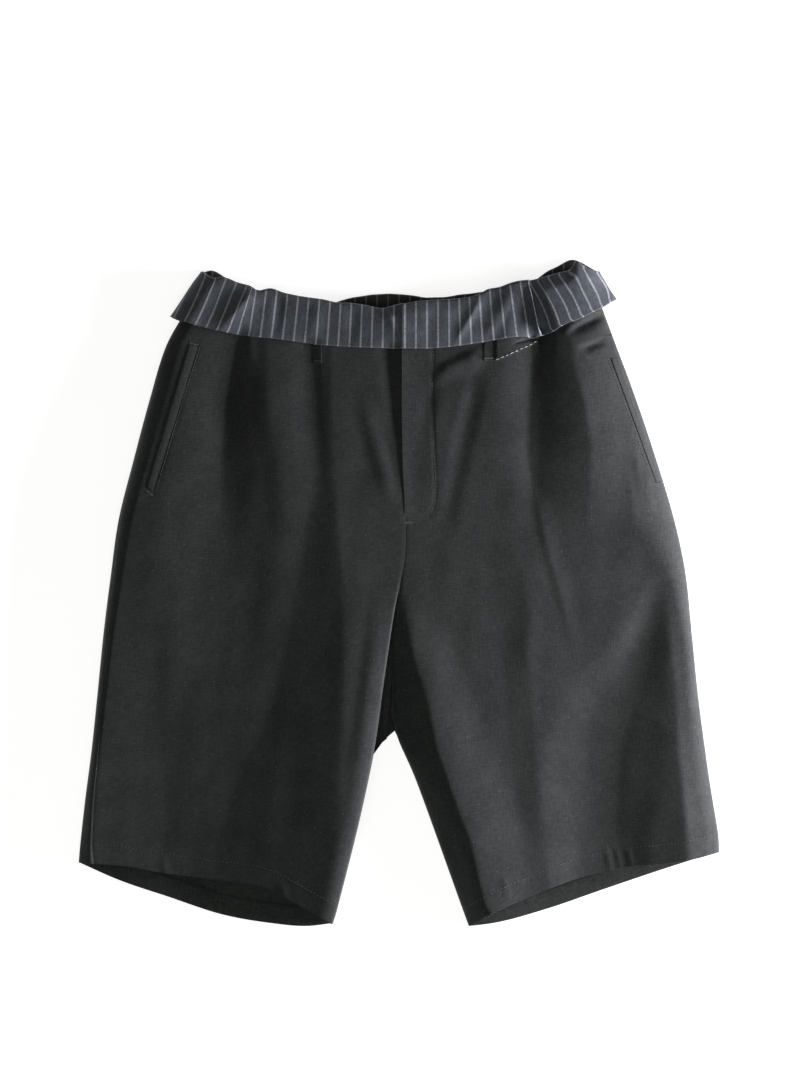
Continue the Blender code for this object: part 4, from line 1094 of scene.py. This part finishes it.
def stitchMesh(starts, ends, ups, radius):  # small capsules, one for each stitch
    along = ends - starts
    length = np.linalg.norm(along, axis=-1, keepdims=True)
    along = along / length
    side = unit(np.cross(along, ups))
    ups = np.cross(side, along)
    sides = sewing["sides"]
    angles = np.linspace(0, 2 * math.pi, sides, endpoint=False)
    spokes = side[:, None] * np.cos(angles)[None, :, None] + ups[:, None] * np.sin(angles)[None, :, None]
    rings = []
    for share, wide in sewing["profile"]:
        sunk = (4 * share * (1 - share) - 1) * radius * sewing["sink"]
        rings.append((starts + along * length * share + ups * sunk)[:, None] + radius * wide * spokes)
    vertices = np.stack(rings, axis=1)  # stitch, ring, side
    count, ringCount = vertices.shape[:2]
    uvs = np.zeros((count, ringCount, sides, 2))
    uvs[..., 0] = np.arange(sides) / sides * sewing["roundUv"]
    uvs[..., 1] = np.linspace(0, 1, ringCount)[None, :, None] * length[:, :, None]
    base, faces = np.arange(sides), []
    for start in range(0, count * ringCount * sides, ringCount * sides):
        for a in range(start, start + (ringCount - 1) * sides, sides):
            b = a + (base + 1) % sides
            faces += np.stack([a + base, b, b + sides, a + base + sides], axis=-1).tolist()
        faces.append((start + base[::-1]).tolist())
        faces.append((start + (ringCount - 1) * sides + base).tolist())
    return vertices.reshape(-1, 3), faces, uvs.reshape(-1, 2)


def alongPath(path, spacing):
    path = np.asarray(path, float)
    knots = np.concatenate([[0], np.cumsum(np.linalg.norm(np.diff(path, axis=0), axis=-1))])
    at = np.arange(0, knots[-1], spacing)
    return np.stack([through(knots, path[:, k], at) for k in range(path.shape[1])], axis=-1)


def stitchesOn(leg, path, spacing=sewing["spacing"], length=sewing["length"], above=sewing["above"]):
    spots = alongPath(path, spacing)
    ahead = unit(np.gradient(spots, axis=0))
    out = np.full(len(spots), above)
    halves = (ahead * (end * length) for end in (-0.5, 0.5))
    (starts, upA), (ends, upB) = (onFront(leg, *(spots + half).T, out) for half in halves)
    return starts, ends, (upA + upB) / 2


def tackOn(leg, x, y, turnDegrees, long, wide, above=sewing["tackAbove"]):  # close stitches side by side
    turn = math.radians(turnDegrees)
    run = np.array((math.cos(turn), math.sin(turn)))
    cross = np.array((-run[1], run[0]))
    offsets = np.arange(-long / 2, long / 2 + 0.01, sewing["tackSpacing"])
    middle = np.array((x, y)) + offsets[:, None] * run
    out = np.full(len(middle), above)
    (starts, up), (ends, _) = (onFront(leg, *(middle + cross * wide * end).T, out) for end in (-0.5, 0.5))
    return starts, ends, up


def hemStitches(leg, columns):
    spots = alongPath(tube(leg, sewing["hemStation"], columns), sewing["hemSpacing"])
    half = unit(np.gradient(spots, axis=0)) * sewing["length"] / 2
    up = np.tile((0.0, 0.0, 1.0), (len(spots), 1))
    lifted = spots + up * sewing["hemAbove"]
    return lifted - half, lifted + half, up


flyPath = ((34, 243), (33, 191), (34.6, 149), (36.5, 107), (35.5, 93), (31, 81), (22, 74.5), (13, 72.5))
darkRuns = [
    stitchesOn(leftLeg, flyPath),
    # beside the pocket openings
    stitchesOn(rightLeg, ((-198.5, 249), (-221, 176), (-243, 102))),
    stitchesOn(leftLeg, ((208.5, 236), (231, 176), (254, 112))),
    # hems
    hemStitches(rightLeg, np.linspace(0.6, 13.4, 90)),
    hemStitches(leftLeg, np.linspace(0.6, 15.0, 90)),
]
tacks = [
    # the fly, the ends of the pockets, the ends of the loops: x, y, turn, length, width
    tackOn(leftLeg, 9.5, 72.5, 0, 7, 2.2),
    tackOn(rightLeg, -204, 250.5, -12, 9, 2.0), tackOn(rightLeg, -249, 101.5, -30, 8, 2.0),
    tackOn(leftLeg, 210, 259.5, 16, 6, 2.0), tackOn(leftLeg, 259, 112.5, 10, 6, 2.0),
    tackOn(rightLeg, -81, 234, 0, 7, 1.8, sewing["loopTackAbove"]),
    tackOn(leftLeg, 89.5, 236.5, 0, 8.5, 1.8, sewing["loopTackAbove"]),
]


def threadPiece(name, runs, material):
    piece = joined(name, [stitchMesh(*run, sewing["radius"]) for run in runs], material)
    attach(piece, "root")
    print("made", name, len(piece.data.polygons), "faces")


threadPiece("topstitching", darkRuns, darkThread)
threadPiece("barTacks", tacks, darkThread)
facingPath = ((98, 235.2), (110, 240.4), (124, 246.8), (137, 252.6))
handRun = stitchesOn(leftLeg, facingPath, sewing["handSpacing"], sewing["handLength"], sewing["handAbove"])
threadPiece("facingStitches", [handRun], paleThread)


# Floor, light and camera
stage = {
    "floorHalf": 6.0, "floorDrop": 0.0002, "floor": "#b4b4b2", "world": "#ffffff", "worldStrength": 0.175,
    "cameraHeight": 4.2, "cameraOver": (1.0, 61.5, 0.0), "sensor": 36.0,
    "frameHeight": 1.067, "clothHeight": 0.012,  # what the frame takes in at the height of the cloth
}
paperLook = {"Base Color": hexLinear(stage["floor"]), "Roughness": 0.95, "Specular IOR Level": 0.1,
             "Emission Color": (1.0, 1.0, 0.995, 1.0), "Emission Strength": 0.82}
lamps = (  # name, place, target, size, power, colour: a low slightly violet key and a soft greenish sky
    ("keyRight", (1.15, -0.08, 0.22), (0.1, 0.0, 0.0), (0.8, 0.2), 64.0, (0.985, 0.968, 1.07)),
    ("overhead", (-0.3, -1.1, 2.2), (0.0, 0.0, 0.0), (1.8, 1.6), 15.5, (0.97, 1.035, 0.99)),
)
half, low = stage["floorHalf"], -stage["floorDrop"]
floorMesh = bpy.data.meshes.new("floor")
corners = [(-half, -half, low), (half, -half, low), (half, half, low), (-half, half, low)]
floorMesh.from_pydata(corners, [], [(0, 1, 2, 3)])
floor = bpy.data.objects.new("floor", floorMesh)
bpy.context.collection.objects.link(floor)
paper = bpy.data.materials.new("frostedTable")  # a frosted white table, lit from beneath
paper.use_nodes = True
for socketName, value in paperLook.items():
    paper.node_tree.nodes["Principled BSDF"].inputs[socketName].default_value = value
floorMesh.materials.append(paper)

world = bpy.data.worlds.new("studio")
bpy.context.scene.world = world
world.use_nodes = True
background = world.node_tree.nodes["Background"]
background.inputs["Color"].default_value = hexLinear(stage["world"])
background.inputs["Strength"].default_value = stage["worldStrength"]

for name, place, target, size, power, colour in lamps:
    lamp = bpy.data.lights.new(name, "AREA")
    lamp.shape = "RECTANGLE"
    lamp.size, lamp.size_y = size
    lamp.energy = power
    lamp.color = colour
    light = bpy.data.objects.new(name, lamp)
    light.location = place
    light.rotation_euler = (Vector(target) - Vector(place)).to_track_quat("-Z", "Y").to_euler()
    light.visible_camera = False
    bpy.context.collection.objects.link(light)

lens = bpy.data.cameras.new("camera")
lens.sensor_width = stage["sensor"]
lens.sensor_fit = "VERTICAL"
lens.sensor_height = stage["sensor"]
lens.lens = stage["sensor"] * (stage["cameraHeight"] - stage["clothHeight"]) / stage["frameHeight"]
camera = bpy.data.objects.new("camera", lens)
centre = toMetres(stage["cameraOver"])
camera.location = (centre[0], centre[1], stage["cameraHeight"])
camera.rotation_euler = (0.0, 0.0, 0.0)
bpy.context.collection.objects.link(camera)
bpy.context.scene.camera = camera
bpy.context.scene.view_settings.view_transform = "Standard"
print("stage set")
